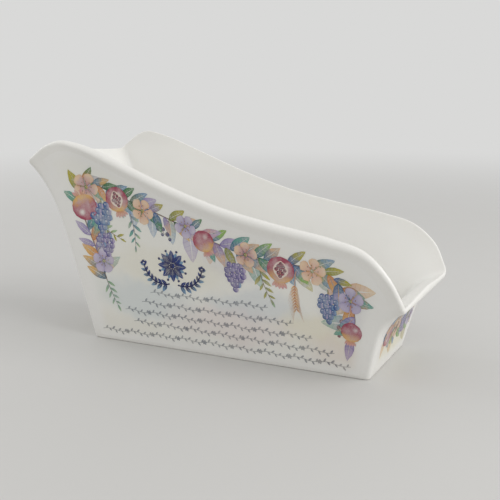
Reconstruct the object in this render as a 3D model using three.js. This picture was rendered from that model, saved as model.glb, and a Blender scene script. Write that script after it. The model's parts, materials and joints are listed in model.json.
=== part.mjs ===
// Matzah stand: an open, boat-shaped trough that holds a stack of square matzot upright on their edges.
// The trough is one white melamine moulding, tall at one end and low at the other. Its walls lean out and
// flare into a thick rounded lip all the way round. A printed foil is bonded to the outside of each wall.
// Millimetres, +Z up. X runs along the trough, with the low end at +X. The long walls face -Y and +Y.
// The origin is on the table, at the middle of the space that the stand fills.
import * as THREE from 'three';

// Foot of the trough, where the walls start
const FOOT_LENGTH = 213.5;
const FOOT_WIDTH = 80;
const FOOT_CORNER = 3.2; // how far along each edge a rounded corner starts
const FOOT_EDGE = 1.2; // rounding where the wall meets the table
const FOOT_BAND = 9; // width of the flat band that the stand rests on
const RECESS_DEPTH = 1.2; // the underside is hollowed inside that band
const RECESS_SLOPE_WIDTH = 0.8; // the recess's side leans over by this much

// Shell
const WALL = 3; // where the walls start to flare
const WALL_EXTRA = 0.5; // how much thicker they are at the floor
const FLOOR = 3.4;
const INSIDE_FILLET = 6; // between the floor and the walls
const INSIDE_CORNER = 11;

// The lip that the walls thicken into as they flare. Its outside is a large quarter round, and its inside a
// small one.
const LIP_THICKNESS = 5.5;
const TIP_THICKNESS = 3; // at the four tips, where the lips of two walls meet
const TIP_TAPER = 70; // how far from a tip the lip comes to its full thickness
const INNER_ROUNDING = 0.9;

// The rim line is where the outside of a wall ends and the round of its lip starts. That of a long wall
// goes from the high tip over the ear, down the sweep and round the shoulder to the low tip. The tips are
// given by how far they stand beyond the foot's end and out from its side, and by their height over the
// table. Each station of the ear and of the shoulder lies `on` further inwards than the one before it,
// counting from its own tip. The stations of the sweep are spread evenly between the two.
const HIGH_TIP = { beyond: 37.6, out: 21.3, height: 129.2 };
const EAR_RISE = { on: 8.3, out: 20.9, height: 135.6 };
const EAR_ROUND = { on: 8.5, out: 20.6, height: 141 };
const EAR_CREST = { on: 11, out: 19.3, height: 144 };
const EAR_FALL = { on: 14, out: 17.6, height: 140.9 };
const SWEEP_OUT = 17.4;
const SWEEP_TOP_HEIGHT = 126.7;
const SWEEP_UPPER_HEIGHT = 112.6;
const SWEEP_LOWER_HEIGHT = 101.2;
const SWEEP_FOOT_HEIGHT = 93.9;
const SHOULDER_CREST = { on: 22.6, out: 17.4, height: 88.2 };
const SHOULDER_ROUND = { on: 15.5, out: 18.4, height: 83.3 };
const SHOULDER_FALL = { on: 7.15, out: 19.6, height: 71.1 };
const SHOULDER_FOOT = { on: 3.35, out: 17.3, height: 58.6 };
const LOW_TIP = { beyond: 24.5, out: 16.3, height: 50.3 };
const TIP_ROUNDING = 6.5; // how far along each rim line a rounded tip starts

// How much of each wall's overhang is its flare under the lip, and how late in its height the wall flares
const HIGH_END_FLARE = 10.6;
const LOW_END_FLARE = 11.5;
const SPOUT_EASE = 7; // how much further in the inner wall of the low end turns out, as a spout's lip does
const SIDE_FLARE = 4.5;
const FLARE_POWER = 7;
const WALL_CORNER = 9; // rounding that a corner between two walls grows to before it flares into the tip

// Printed foils
const FOIL_THICKNESS = 0.25;
const FOIL_CLEARANCE = 0.3;
const FOIL_ABOVE_FOOT = 3;
const FOIL_BELOW_RIM = 4;
const FOIL_FROM_CORNER = 4;

// Fineness of the surface
const SIDE_STEPS = 30;
const SIDE_CROWDING = 0.5; // draws the stations of a long wall together towards its ends
const END_STEPS = 6;
const CORNER_STEPS = 4;
const FOIL_ROWS = 12;
const ROWS_OVER_FOIL = 2;
const INSIDE_ROWS = 13;
const CROWDING = 1.5; // draws the rows of the walls together towards the lip, where they bend most
const LIP_STEPS = 5;
const INNER_ROUNDING_STEPS = 2;
const FILLET_STEPS = 3;
const FOOT_EDGE_STEPS = 2;

const shellWhite = new THREE.MeshStandardMaterial({ color: 0xf4f3f0, roughness: 0.28, metalness: 0 });
const foilCream = new THREE.MeshStandardMaterial({ color: 0xe9e6df, roughness: 0.3, metalness: 0 });

const { lerp, smoothstep } = THREE.MathUtils;

// Point on a quadratic curve from a to c that is pulled towards b.
function bend(a, b, c, t) {
  return a.clone().multiplyScalar((1 - t) * (1 - t))
    .addScaledVector(b, 2 * t * (1 - t))
    .addScaledVector(c, t * t);
}

// Shares at which edge k of every loop is sampled between its corners: its ends, a station a little in from
// each for the edge of the foil, and steps between those.
function edgeShares(k) {
  const [steps, inset, crowding] = k % 2
    ? [END_STEPS, FOIL_FROM_CORNER / FOOT_WIDTH, 0]
    : [SIDE_STEPS, FOIL_FROM_CORNER / FOOT_LENGTH, SIDE_CROWDING];
  const between = Array.from({ length: steps - 1 }, (_, i) => {
    const t = i / (steps - 2);
    return lerp(inset, 1 - inset, t - crowding * Math.sin(2 * Math.PI * t) / (2 * Math.PI));
  });
  return [0, ...between, 1];
}

// Four edges, each a function of a share from 0 to 1, made one loop with rounded corners.
// A corner starts a distance `cut` before the end of its edge.
function roundedLoop(edges, lengths, cut) {
  const points = [];
  edges.forEach((edge, k) => {
    const next = (k + 1) % edges.length;
    const start = cut / lengths[k];
    for (const share of edgeShares(k)) points.push(edge(lerp(start, 1 - start, share)));
    const away = edges[next](cut / lengths[next]);
    for (let i = 1; i < CORNER_STEPS; i += 1) {
      points.push(bend(edge(1 - start), edge(1), away, i / CORNER_STEPS));
    }
  });
  return points;
}

// How far each point of a loop lies from the nearest corner.
function cornerDistances(lengths) {
  return lengths.flatMap((length, k) => [
    ...edgeShares(k).map((share) => Math.min(share, 1 - share) * length),
    ...Array(CORNER_STEPS - 1).fill(0),
  ]);
}

// The foot's outline, drawn in by `inset`, at a height above the table.
function footLoop(inset, height, corner) {
  const x = FOOT_LENGTH / 2 - inset;
  const y = FOOT_WIDTH / 2 - inset;
  const corners = [[-x, -y], [x, -y], [x, y], [-x, y]].map(([cx, cy]) => new THREE.Vector3(cx, cy, height));
  const edges = corners.map((from, k) => (t) => from.clone().lerp(corners[(k + 1) % corners.length], t));
  return roundedLoop(edges, [2 * x, 2 * y, 2 * x, 2 * y], corner);
}

// Stations at one end of a long wall's rim line, from its tip inwards. `end` is 1 at the low end and -1 at
// the high end.
function rimStations(end, tip, ...stations) {
  let x = end * (FOOT_LENGTH / 2 + tip.beyond);
  return [{ on: 0, ...tip }, ...stations].map(({ on, out, height }) => {
    x -= end * on;
    return new THREE.Vector3(x, -FOOT_WIDTH / 2 - out, height);
  });
}

// The rim line of the long wall on the -Y side, from the high tip to the low one.
function longRim() {
  const ear = rimStations(-1, HIGH_TIP, EAR_RISE, EAR_ROUND, EAR_CREST, EAR_FALL);
  const shoulder = rimStations(1, LOW_TIP, SHOULDER_FOOT, SHOULDER_FALL, SHOULDER_ROUND, SHOULDER_CREST);
  shoulder.reverse();
  const heights = [SWEEP_TOP_HEIGHT, SWEEP_UPPER_HEIGHT, SWEEP_LOWER_HEIGHT, SWEEP_FOOT_HEIGHT];
  const sweep = heights.map((height, i) => {
    const x = lerp(ear[ear.length - 1].x, shoulder[0].x, (i + 1) / (heights.length + 1));
    return new THREE.Vector3(x, -FOOT_WIDTH / 2 - SWEEP_OUT, height);
  });
  return new THREE.CatmullRomCurve3([...ear, ...sweep, ...shoulder], false, 'centripetal');
}

// The four rim lines: one smooth curve along each long wall, and a level line across each end.
const nearRim = longRim();
const mirror = (p) => p.setY(-p.y);
const lowRim = new THREE.LineCurve3(nearRim.getPoint(1), mirror(nearRim.getPoint(1)));
const highRim = new THREE.LineCurve3(mirror(nearRim.getPoint(0)), nearRim.getPoint(0));
const rimEdges = [
  (t) => nearRim.getPointAt(t),
  (t) => lowRim.getPoint(t),
  (t) => mirror(nearRim.getPointAt(1 - t)),
  (t) => highRim.getPoint(t),
];
const rimLengths = [nearRim, lowRim, nearRim, highRim].map((line) => line.getLength());

// The loop of the rim lines, with a given rounding at its corners and drawn in by a share of the flare. The
// low end is drawn in by some more of its own.
function rimLoop(cut, flareShare, lowEndExtra = 0) {
  const low = LOW_END_FLARE + lowEndExtra;
  const flares = [[-HIGH_END_FLARE, -SIDE_FLARE], [low, -SIDE_FLARE], [low, SIDE_FLARE],
    [-HIGH_END_FLARE, SIDE_FLARE]].map(([x, y]) => new THREE.Vector3(x, y, 0));
  const edges = rimEdges.map((edge, k) => (t) => {
    const flare = flares[k].clone().lerp(flares[(k + 1) % flares.length], t);
    return edge(t).addScaledVector(flare, -flareShare);
  });
  return roundedLoop(edges, rimLengths, cut);
}

// Point on a wall, at a share of its height. The wall leans straight from its foot towards its reach, and
// flares from there out to its rim.
function wallPoint(foot, reach, rim, share) {
  return foot.clone().lerp(reach, share).addScaledVector(rim.clone().sub(reach), share ** FLARE_POWER);
}

const foot = footLoop(0, 0, FOOT_CORNER);
const reach = rimLoop(WALL_CORNER, 1);
const rim = rimLoop(TIP_ROUNDING, 0);
const count = foot.length;

const outerPoint = (i, share) => wallPoint(foot[i], reach[i], rim[i], share);

// Outward direction of the outer wall, from its slopes round the stand and up the wall.
function outwards(i, share) {
  const step = 1e-3;
  const round = outerPoint((i + 1) % count, share).sub(outerPoint((i + count - 1) % count, share));
  const up = outerPoint(i, share).sub(outerPoint(i, share - step));
  return round.cross(up).normalize();
}

// Shares of the height of wall i at which the outer wall has its rows, with the foil's edges among them.
function outerRows(i) {
  const height = rim[i].z;
  const foilFoot = FOIL_ABOVE_FOOT / height;
  const foilTop = 1 - FOIL_BELOW_RIM / height;
  const rows = [FOOT_EDGE / height];
  for (let r = 0; r <= FOIL_ROWS; r += 1) {
    rows.push(lerp(foilTop, foilFoot, (1 - r / FOIL_ROWS) ** CROWDING));
  }
  for (let r = 1; r <= ROWS_OVER_FOIL; r += 1) rows.push(lerp(foilTop, 1, r / ROWS_OVER_FOIL));
  return rows;
}

const rows = foot.map((_, i) => outerRows(i));
const FIRST_FOIL_ROW = 1;
const LAST_FOIL_ROW = FIRST_FOIL_ROW + FOIL_ROWS;

// A triangle list that becomes a geometry.
class Skin {
  positions = [];

  triangle(...corners) {
    corners.forEach((p) => this.positions.push(p.x, p.y, p.z));
  }

  quad(a, b, c, d) {
    this.triangle(a, b, c);
    this.triangle(a, c, d);
  }

  geometry() {
    const geometry = new THREE.BufferGeometry();
    geometry.setAttribute('position', new THREE.Float32BufferAttribute(this.positions, 3));
    geometry.computeVertexNormals();
    return geometry;
  }
}

// Rings made at even shares between two others, without those two.
function ringsBetween(steps, make) {
  return Array.from({ length: steps - 1 }, (_, k) => make((k + 1) / steps));
}

// The shell, as a stack of rings: the underside's recess and foot band, the outer wall, the lip's two
// roundings, the inner wall, its fillet, and the floor.
function trough() {
  const floorTop = RECESS_DEPTH + FLOOR;
  const outward = rim.map((_, i) => outwards(i, 1));
  const up = rim.map((p, i) => p.clone().sub(outerPoint(i, 0.999)).normalize());
  const thick = cornerDistances(rimLengths).map((distance) => (
    lerp(TIP_THICKNESS, LIP_THICKNESS, smoothstep(distance, 0, TIP_TAPER))));
  const rounding = thick.map((size) => size - INNER_ROUNDING);
  const inwards = rim.map((_, i) => up[i].clone().multiplyScalar(rounding[i] - INNER_ROUNDING)
    .addScaledVector(outward[i], -thick[i]));
  const innerRim = rim.map((p, i) => p.clone().add(inwards[i]));
  const innerReach = rimLoop(WALL_CORNER, 1, SPOUT_EASE).map((p, i) => p.addScaledVector(outward[i], -WALL));
  const innerFoot = footLoop(WALL + WALL_EXTRA, floorTop, INSIDE_CORNER);
  const floorEdge = footLoop(WALL + WALL_EXTRA + INSIDE_FILLET, floorTop, INSIDE_CORNER);
  const innerPoint = (i, share) => wallPoint(innerFoot[i], innerReach[i], innerRim[i], share);
  const filletShare = (i) => INSIDE_FILLET / (innerRim[i].z - floorTop);

  const underside = [
    footLoop(FOOT_BAND + RECESS_SLOPE_WIDTH, RECESS_DEPTH, INSIDE_CORNER),
    footLoop(FOOT_BAND, 0, INSIDE_CORNER),
    footLoop(FOOT_EDGE, 0, FOOT_CORNER),
  ];
  const ground = underside[underside.length - 1];
  const footEdge = ringsBetween(FOOT_EDGE_STEPS, (t) => (
    foot.map((p, i) => bend(ground[i], p, outerPoint(i, rows[i][0]), t))));
  const outside = rows[0].map((_, r) => foot.map((__, i) => outerPoint(i, rows[i][r])));
  // A round of the lip, at an angle from its outward side, whose outermost point lies at `from`
  const round = (i, from, radius, angle) => from.clone()
    .addScaledVector(outward[i], radius * (Math.cos(angle) - 1))
    .addScaledVector(up[i], radius * Math.sin(angle));
  const quarter = Math.PI / 2;
  const lip = Array.from({ length: LIP_STEPS }, (_, k) => (
    rim.map((p, i) => round(i, p, rounding[i], quarter * (k + 1) / LIP_STEPS))));
  const innerEdge = ringsBetween(INNER_ROUNDING_STEPS, (t) => innerRim.map((p, i) => {
    const from = p.clone().addScaledVector(outward[i], 2 * INNER_ROUNDING);
    return round(i, from, INNER_ROUNDING, quarter * (1 + t));
  }));
  const inside = Array.from({ length: INSIDE_ROWS + 1 }, (_, r) => innerFoot.map((__, i) => (
    innerPoint(i, lerp(1, filletShare(i), (r / INSIDE_ROWS) ** CROWDING)))));
  const fillet = ringsBetween(FILLET_STEPS, (t) => (
    innerFoot.map((p, i) => bend(innerPoint(i, filletShare(i)), p, floorEdge[i], t))));

  const rings = [
    ...underside, ...footEdge, ...outside, ...lip, ...innerEdge, ...inside, ...fillet, floorEdge,
  ];
  const skin = new Skin();
  const recessCentre = new THREE.Vector3(0, 0, RECESS_DEPTH);
  const floorCentre = new THREE.Vector3(0, 0, floorTop);
  for (let i = 0; i < count; i += 1) {
    const j = (i + 1) % count;
    skin.triangle(recessCentre, rings[0][j], rings[0][i]);
    for (let k = 1; k < rings.length; k += 1) {
      skin.quad(rings[k - 1][i], rings[k - 1][j], rings[k][j], rings[k][i]);
    }
    skin.triangle(floorCentre, floorEdge[i], floorEdge[j]);
  }
  return skin.geometry();
}

// A foil that follows the outer wall between two stations, held off it by its clearance.
function foil(firstStation, lastStation) {
  const layer = (distance) => {
    const grid = [];
    for (let r = FIRST_FOIL_ROW; r <= LAST_FOIL_ROW; r += 1) {
      const row = [];
      for (let i = firstStation; i <= lastStation; i += 1) {
        row.push(outerPoint(i, rows[i][r]).addScaledVector(outwards(i, rows[i][r]), distance));
      }
      grid.push(row);
    }
    return grid;
  };
  const back = layer(FOIL_CLEARANCE);
  const front = layer(FOIL_CLEARANCE + FOIL_THICKNESS);
  const skin = new Skin();
  const high = FOIL_ROWS;
  const wide = lastStation - firstStation;
  for (let r = 0; r < high; r += 1) {
    for (let i = 0; i < wide; i += 1) {
      skin.quad(front[r][i], front[r][i + 1], front[r + 1][i + 1], front[r + 1][i]);
      skin.quad(back[r][i], back[r + 1][i], back[r + 1][i + 1], back[r][i + 1]);
    }
    skin.quad(back[r][0], front[r][0], front[r + 1][0], back[r + 1][0]);
    skin.quad(front[r][wide], back[r][wide], back[r + 1][wide], front[r + 1][wide]);
  }
  for (let i = 0; i < wide; i += 1) {
    skin.quad(back[0][i], back[0][i + 1], front[0][i + 1], front[0][i]);
    skin.quad(front[high][i], front[high][i + 1], back[high][i + 1], back[high][i]);
  }
  return skin.geometry();
}

const stand = new THREE.Group();

function place(name, geometry, material) {
  const mesh = new THREE.Mesh(geometry, material);
  mesh.name = name;
  stand.add(mesh);
}

place('trough', trough(), shellWhite);

// The walls in the order of the loop: the one facing -Y, the low end, the one facing +Y, the high end.
const walls = [
  ['front_foil', SIDE_STEPS],
  ['low_end_foil', END_STEPS],
  ['back_foil', SIDE_STEPS],
  ['high_end_foil', END_STEPS],
];
let station = 0;
for (const [name, steps] of walls) {
  place(name, foil(station + 1, station + steps - 1), foilCream);
  station += steps + CORNER_STEPS;
}

// The origin goes to the middle of the space that the stand fills.
const filled = new THREE.Box3().setFromObject(stand);
stand.children.forEach((mesh) => { mesh.position.x = -(filled.min.x + filled.max.x) / 2; });

export default stand;
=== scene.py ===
"""Looks of a matzah stand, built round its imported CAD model.

The stand is one white melamine moulding: a boat-shaped trough, high at one end and low at the other, whose
walls flare out into a rounded lip. A foil printed with painted garlands is fused to the outside of each of
its four walls. The walls follow the rule and the sizes of the CAD part, sampled more finely.
"""

import cmath
import json
import logging
import math
from collections.abc import Callable, Iterator, Sequence
from dataclasses import dataclass, field
from enum import Enum
from functools import partial

import bpy
import numpy as np
from bpy.types import Collection, Material, Node, NodeSocket, NodeTree, Object
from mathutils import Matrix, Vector

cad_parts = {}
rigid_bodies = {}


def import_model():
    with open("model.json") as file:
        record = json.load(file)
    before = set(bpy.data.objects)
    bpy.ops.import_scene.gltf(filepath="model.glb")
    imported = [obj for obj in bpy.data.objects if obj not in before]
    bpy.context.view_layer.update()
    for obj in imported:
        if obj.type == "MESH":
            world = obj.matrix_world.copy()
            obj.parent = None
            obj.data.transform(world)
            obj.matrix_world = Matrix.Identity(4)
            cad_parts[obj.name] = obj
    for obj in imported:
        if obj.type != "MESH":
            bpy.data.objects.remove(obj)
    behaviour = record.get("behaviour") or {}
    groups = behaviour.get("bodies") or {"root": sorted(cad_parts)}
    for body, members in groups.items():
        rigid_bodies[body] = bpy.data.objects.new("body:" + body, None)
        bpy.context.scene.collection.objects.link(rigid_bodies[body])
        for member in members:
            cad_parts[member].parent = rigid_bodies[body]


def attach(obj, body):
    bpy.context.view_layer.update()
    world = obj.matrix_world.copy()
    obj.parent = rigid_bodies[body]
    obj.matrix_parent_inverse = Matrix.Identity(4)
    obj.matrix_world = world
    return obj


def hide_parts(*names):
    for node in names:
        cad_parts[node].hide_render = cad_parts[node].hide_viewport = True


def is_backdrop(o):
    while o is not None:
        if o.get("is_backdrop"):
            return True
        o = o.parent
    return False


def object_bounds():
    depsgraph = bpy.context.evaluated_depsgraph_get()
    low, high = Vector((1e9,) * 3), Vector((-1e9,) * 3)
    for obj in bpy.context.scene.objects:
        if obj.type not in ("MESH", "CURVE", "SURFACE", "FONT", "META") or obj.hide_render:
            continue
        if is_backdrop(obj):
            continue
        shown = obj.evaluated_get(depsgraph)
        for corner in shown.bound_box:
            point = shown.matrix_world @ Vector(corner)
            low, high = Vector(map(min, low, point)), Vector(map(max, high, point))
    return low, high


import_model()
CAD_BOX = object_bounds()

MM = 0.001
Points = np.ndarray  # rows of x, y, z, in millimetres
Guides = tuple[Points, Points, Points]  # what a row of vertices is placed by, see RingLaw
Edge = Callable[[np.ndarray], Points]  # points of a line at shares of its length
AddNode = Callable[..., Node]  # add_node for one tree
log = logging.getLogger("matzah_stand")


# Shared helpers


def add_node(
    tree: NodeTree,
    kind: str,
    inputs: dict[str | int, object] | None = None,
    **settings: object,
) -> Node:
    """Adds one node, sets it up and feeds its sockets.

    Args:
        tree: The node tree that gets the node.
        kind: Blender's name for the kind of node.
        inputs: What goes into each socket, by its name or number: a value, a socket, or a node, which
            stands for its first output in use.
        **settings: Properties of the node.

    Returns:
        The new node.
    """
    node = tree.nodes.new(kind)
    for name, value in settings.items():
        setattr(node, name, value)
    for key, value in (inputs or {}).items():
        if isinstance(key, int):
            socket = node.inputs[key]
        else:
            socket = next(s for s in node.inputs if s.enabled and s.name == key)
        if isinstance(value, Node):
            value = next(s for s in value.outputs if s.enabled)
        if isinstance(value, NodeSocket):
            tree.links.new(value, socket)
        else:
            socket.default_value = value
    return node


def linear(colour: str) -> tuple[float, float, float, float]:
    """Turns an sRGB hex colour to linear.

    Args:
        colour: Six hex digits.

    Returns:
        Linear red, green and blue, and an alpha of 1.
    """
    channels = [int(colour[i : i + 2], 16) / 255 for i in (0, 2, 4)]
    return (*(c / 12.92 if c <= 0.04045 else ((c + 0.055) / 1.055) ** 2.4 for c in channels), 1.0)


def mesh_object(
    name: str, points: Points, faces: Sequence[Sequence[int]], values: dict[str, np.ndarray]
) -> Object:
    """Makes a mesh object in the scene, at the origin.

    Args:
        name: The object's name.
        points: Places of the vertices, in millimetres.
        faces: The vertices of each face; two vertices make a loose edge.
        values: Named values for each vertex, one number or three.

    Returns:
        The new object.
    """
    mesh = bpy.data.meshes.new(name)
    edges = [face for face in faces if len(face) == 2]
    mesh.from_pydata((np.asarray(points) * MM).tolist(), edges, [f for f in faces if len(f) > 2])
    for key, value in values.items():
        value = np.asarray(value, dtype=np.float32)
        if value.ndim == 1:
            mesh.attributes.new(key, "FLOAT", "POINT").data.foreach_set("value", value)
        else:
            mesh.attributes.new(key, "FLOAT_VECTOR", "POINT").data.foreach_set("vector", value.ravel())
    piece = bpy.data.objects.new(name, mesh)
    bpy.context.scene.collection.objects.link(piece)
    return piece


def new_tree(name: str, sockets: dict[str, str]) -> NodeTree:
    """Starts a geometry node tree.

    Args:
        name: The tree's name.
        sockets: The kind of each input of its own, such as Float.

    Returns:
        The tree, with its geometry input and output, the given inputs, and the sharp edges' angle and the
        material, which every tree here has.
    """
    tree = bpy.data.node_groups.new(name, "GeometryNodeTree")
    for direction in ("INPUT", "OUTPUT"):
        tree.interface.new_socket("Geometry", in_out=direction, socket_type="NodeSocketGeometry")
    for label, kind in {**sockets, "Sharp Angle": "Float", "Material": "Material"}.items():
        tree.interface.new_socket(label, in_out="INPUT", socket_type=f"NodeSocket{kind}")
    return tree


def end_tree(tree: NodeTree, mesh: Node, spent: Sequence[str]) -> NodeTree:
    """Ends a geometry node tree: smooth faces, sharp edges, one plain mesh and its material.

    Args:
        tree: The tree.
        mesh: The node that gives the mesh.
        spent: Named values that the mesh no longer needs.

    Returns:
        The tree.
    """
    node = partial(add_node, tree)
    given = node("NodeGroupInput").outputs
    for name in spent:
        exactness = "WILDCARD" if "*" in name else "EXACT"
        mesh = node("GeometryNodeRemoveAttribute", {"Geometry": mesh, "Name": name}, pattern_mode=exactness)
    mesh = node("GeometryNodeSetShadeSmooth", {"Geometry": mesh, "Shade Smooth": True}, domain="FACE")
    angles = {"A": node("GeometryNodeInputMeshEdgeAngle"), "B": given["Sharp Angle"]}
    steep = node("FunctionNodeCompare", angles, data_type="FLOAT", operation="GREATER_THAN")
    sharp = {"Geometry": mesh, "Selection": steep, "Shade Smooth": False}
    mesh = node("GeometryNodeSetShadeSmooth", sharp, domain="EDGE")
    mesh = node("GeometryNodeRealizeInstances", {"Geometry": mesh})
    mesh = node("GeometryNodeSetMaterial", {"Geometry": mesh, "Material": given["Material"]})
    node("NodeGroupOutput", {"Geometry": mesh})
    return tree


def apply_tree(piece: Object, tree: NodeTree, values: dict[str, object]) -> None:
    """Runs a geometry node tree on a piece and keeps the result as its plain mesh.

    Args:
        piece: The object whose mesh goes in and is replaced.
        tree: The tree to run.
        values: What goes into each named input.
    """
    modifier = piece.modifiers.new(tree.name, "NODES")
    modifier.node_group = tree
    identifiers = {
        item.name: item.identifier
        for item in tree.interface.items_tree
        if item.item_type == "SOCKET" and item.in_out == "INPUT"
    }
    for label, value in values.items():
        modifier[identifiers[label]] = value
    depsgraph = bpy.context.evaluated_depsgraph_get()
    mesh = bpy.data.meshes.new_from_object(piece.evaluated_get(depsgraph), depsgraph=depsgraph)
    piece.modifiers.remove(modifier)
    piece.data, spent = mesh, piece.data
    bpy.data.meshes.remove(spent)


def discard(piece: Object) -> None:
    """Removes a helper object and its mesh.

    Args:
        piece: The helper.
    """
    mesh = piece.data
    bpy.data.objects.remove(piece)
    bpy.data.meshes.remove(mesh)


def blend(a: Points, b: Points, share: float | np.ndarray) -> Points:
    """Points a share of the way from a to b."""
    return a + (b - a) * share


def looped(rows: np.ndarray) -> np.ndarray:
    """Rows with their first entry again at the end."""
    return np.concatenate([rows, rows[..., :1]], axis=-1)


def quads(index: np.ndarray) -> list[list[int]]:
    """Makes the faces between the neighbours in a grid of vertices.

    Args:
        index: The vertices' numbers, row by row.

    Returns:
        The four vertices of each face.
    """
    corners = (index[:-1, :-1], index[:-1, 1:], index[1:, 1:], index[1:, :-1])
    return np.stack([corner.ravel() for corner in corners], axis=1).tolist()


def fan(middle: int, ring: np.ndarray) -> list[list[int]]:
    """The faces between a middle vertex and the neighbours on a ring."""
    return [[middle, int(a), int(b)] for a, b in zip(ring, ring[1:])]


def disc(count: int, radii: Sequence[float]) -> tuple[Points, list[list[int]]]:
    """Makes a flat disc of rings round the origin.

    Args:
        count: How many vertices a ring has.
        radii: The rings' radii, from the smallest.

    Returns:
        The points, the middle first, and the faces.
    """
    angles = np.arange(count) / count * math.tau
    circle = np.stack([np.cos(angles), np.sin(angles), np.zeros(count)], axis=1)
    index = looped(1 + np.arange(len(radii) * count).reshape(-1, count))
    return np.vstack([[[0, 0, 0]], *(circle * r for r in radii)]), fan(0, index[0]) + quads(index.T)


# The moulding's form


class Wall(Enum):
    """The four walls in the order of the loop, with the direction that reads as left to right on each."""

    FRONT = (0, "front_foil", (1.0, 0.0))
    LOW_END = (1, "low_end_foil", (0.0, 1.0))
    BACK = (2, "back_foil", (-1.0, 0.0))
    HIGH_END = (3, "high_end_foil", (0.0, -1.0))

    def __init__(self, order: int, node: str, across: tuple[float, float]) -> None:
        """Keeps what tells the wall from the others.

        Args:
            order: Its place in the loop.
            node: Its foil's CAD node.
            across: Its reading direction, as seen from above.
        """
        self.order = order
        self.node = node
        self.across = np.array([*across, 0.0])
        self.outward = np.array([across[1], -across[0], 0.0])


class RingLaw(Enum):
    """How a vertex is placed from its three guides."""

    BEND = 0  # on a quadratic bend that starts at the first and ends at the third
    WALL = 1  # between foot and reach, and curling from there out to the lip
    ROUND = 2  # on a half circle with a centre, an outward radius and an upward radius


@dataclass(frozen=True)
class LipStation:
    """A station of a long wall's lip, in millimetres.

    `on` is how far inwards it lies from the station before it or, for a tip, how far beyond the foot.
    """

    on: float
    out: float
    height: float


@dataclass(frozen=True)
class Loop:
    """Four edges made one closed loop, with corners that start a distance `cut` before an edge's end."""

    edges: tuple[Edge, ...]
    lengths: tuple[float, ...]
    cut: float

    def side(self, k: int, shares: np.ndarray) -> Points:
        """Points along edge k, at shares of the way from one of its corners to the next."""
        start = self.cut / self.lengths[k]
        return self.edges[k](blend(start, 1 - start, shares))

    def corner(self, k: int, shares: np.ndarray) -> Points:
        """Points on the bend from edge k to the next one.

        Args:
            k: The number of the edge before the corner.
            shares: Shares of the bend, from 0 to 1.

        Returns:
            The points, in millimetres.
        """
        after = (k + 1) % len(self.edges)
        start = self.edges[k](np.array([1 - self.cut / self.lengths[k]]))
        tip = self.edges[k](np.array([1.0]))
        away = self.edges[after](np.array([self.cut / self.lengths[after]]))
        t = shares[:, None]
        return start * (1 - t) ** 2 + tip * 2 * t * (1 - t) + away * t**2

    def all_round(self, steps: Sequence[int], corner_steps: int) -> Points:
        """Points of the whole loop.

        Args:
            steps: How many steps each edge is divided into.
            corner_steps: How many steps each corner is divided into.

        Returns:
            The points in order, in millimetres.
        """
        inner = np.arange(1, corner_steps) / corner_steps
        parts = []
        for k, count in enumerate(steps):
            parts += [self.side(k, np.linspace(0, 1, count + 1)), self.corner(k, inner)]
        return np.vstack(parts)

    def from_corner(self, steps: Sequence[int], corner_steps: int) -> np.ndarray:
        """How far each point of the whole loop lies from the nearest corner, in millimetres.

        Args:
            steps: How many steps each edge is divided into.
            corner_steps: How many steps each corner is divided into.

        Returns:
            The distances, in the order of the points.
        """
        parts = []
        for length, count in zip(self.lengths, steps):
            share = np.linspace(0, 1, count + 1)
            parts += [np.minimum(share, 1 - share) * length, np.zeros(corner_steps - 1)]
        return np.concatenate(parts)


def smooth_curve(stations: Points, fineness: int = 60) -> Points:
    """Draws a centripetal Catmull-Rom curve.

    Args:
        stations: Points that the curve goes through.
        fineness: How many points each stretch between two stations gets.

    Returns:
        Points along the curve.
    """
    ends = [2 * stations[0] - stations[1], *stations, 2 * stations[-1] - stations[-2]]
    t = (np.arange(fineness) / fineness)[:, None]
    parts = []
    for p0, p1, p2, p3 in zip(ends, ends[1:], ends[2:], ends[3:]):
        d0, d1, d2 = (math.sqrt(np.linalg.norm(b - a)) for a, b in ((p0, p1), (p1, p2), (p2, p3)))
        m1 = ((p1 - p0) / d0 - (p2 - p0) / (d0 + d1) + (p2 - p1) / d1) * d1
        m2 = ((p2 - p1) / d1 - (p3 - p1) / (d1 + d2) + (p3 - p2) / d2) * d1
        bow = 3 * (p2 - p1) - 2 * m1 - m2
        turn = 2 * (p1 - p2) + m1 + m2
        parts.append(p1 + m1 * t + bow * t**2 + turn * t**3)
    return np.vstack([*parts, stations[-1:]])


def by_length(points: Points) -> tuple[Edge, float]:
    """Turns a drawn line into a function of the share of its length.

    Args:
        points: Points along the line.

    Returns:
        The function, and the line's length.
    """
    run = np.concatenate([[0], np.cumsum(np.linalg.norm(np.diff(points, axis=0), axis=1))])

    def edge(shares: np.ndarray) -> Points:
        """Points at shares of the line's length."""
        return np.stack([np.interp(shares * run[-1], run, points[:, axis]) for axis in range(3)], axis=-1)

    return edge, float(run[-1])


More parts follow.
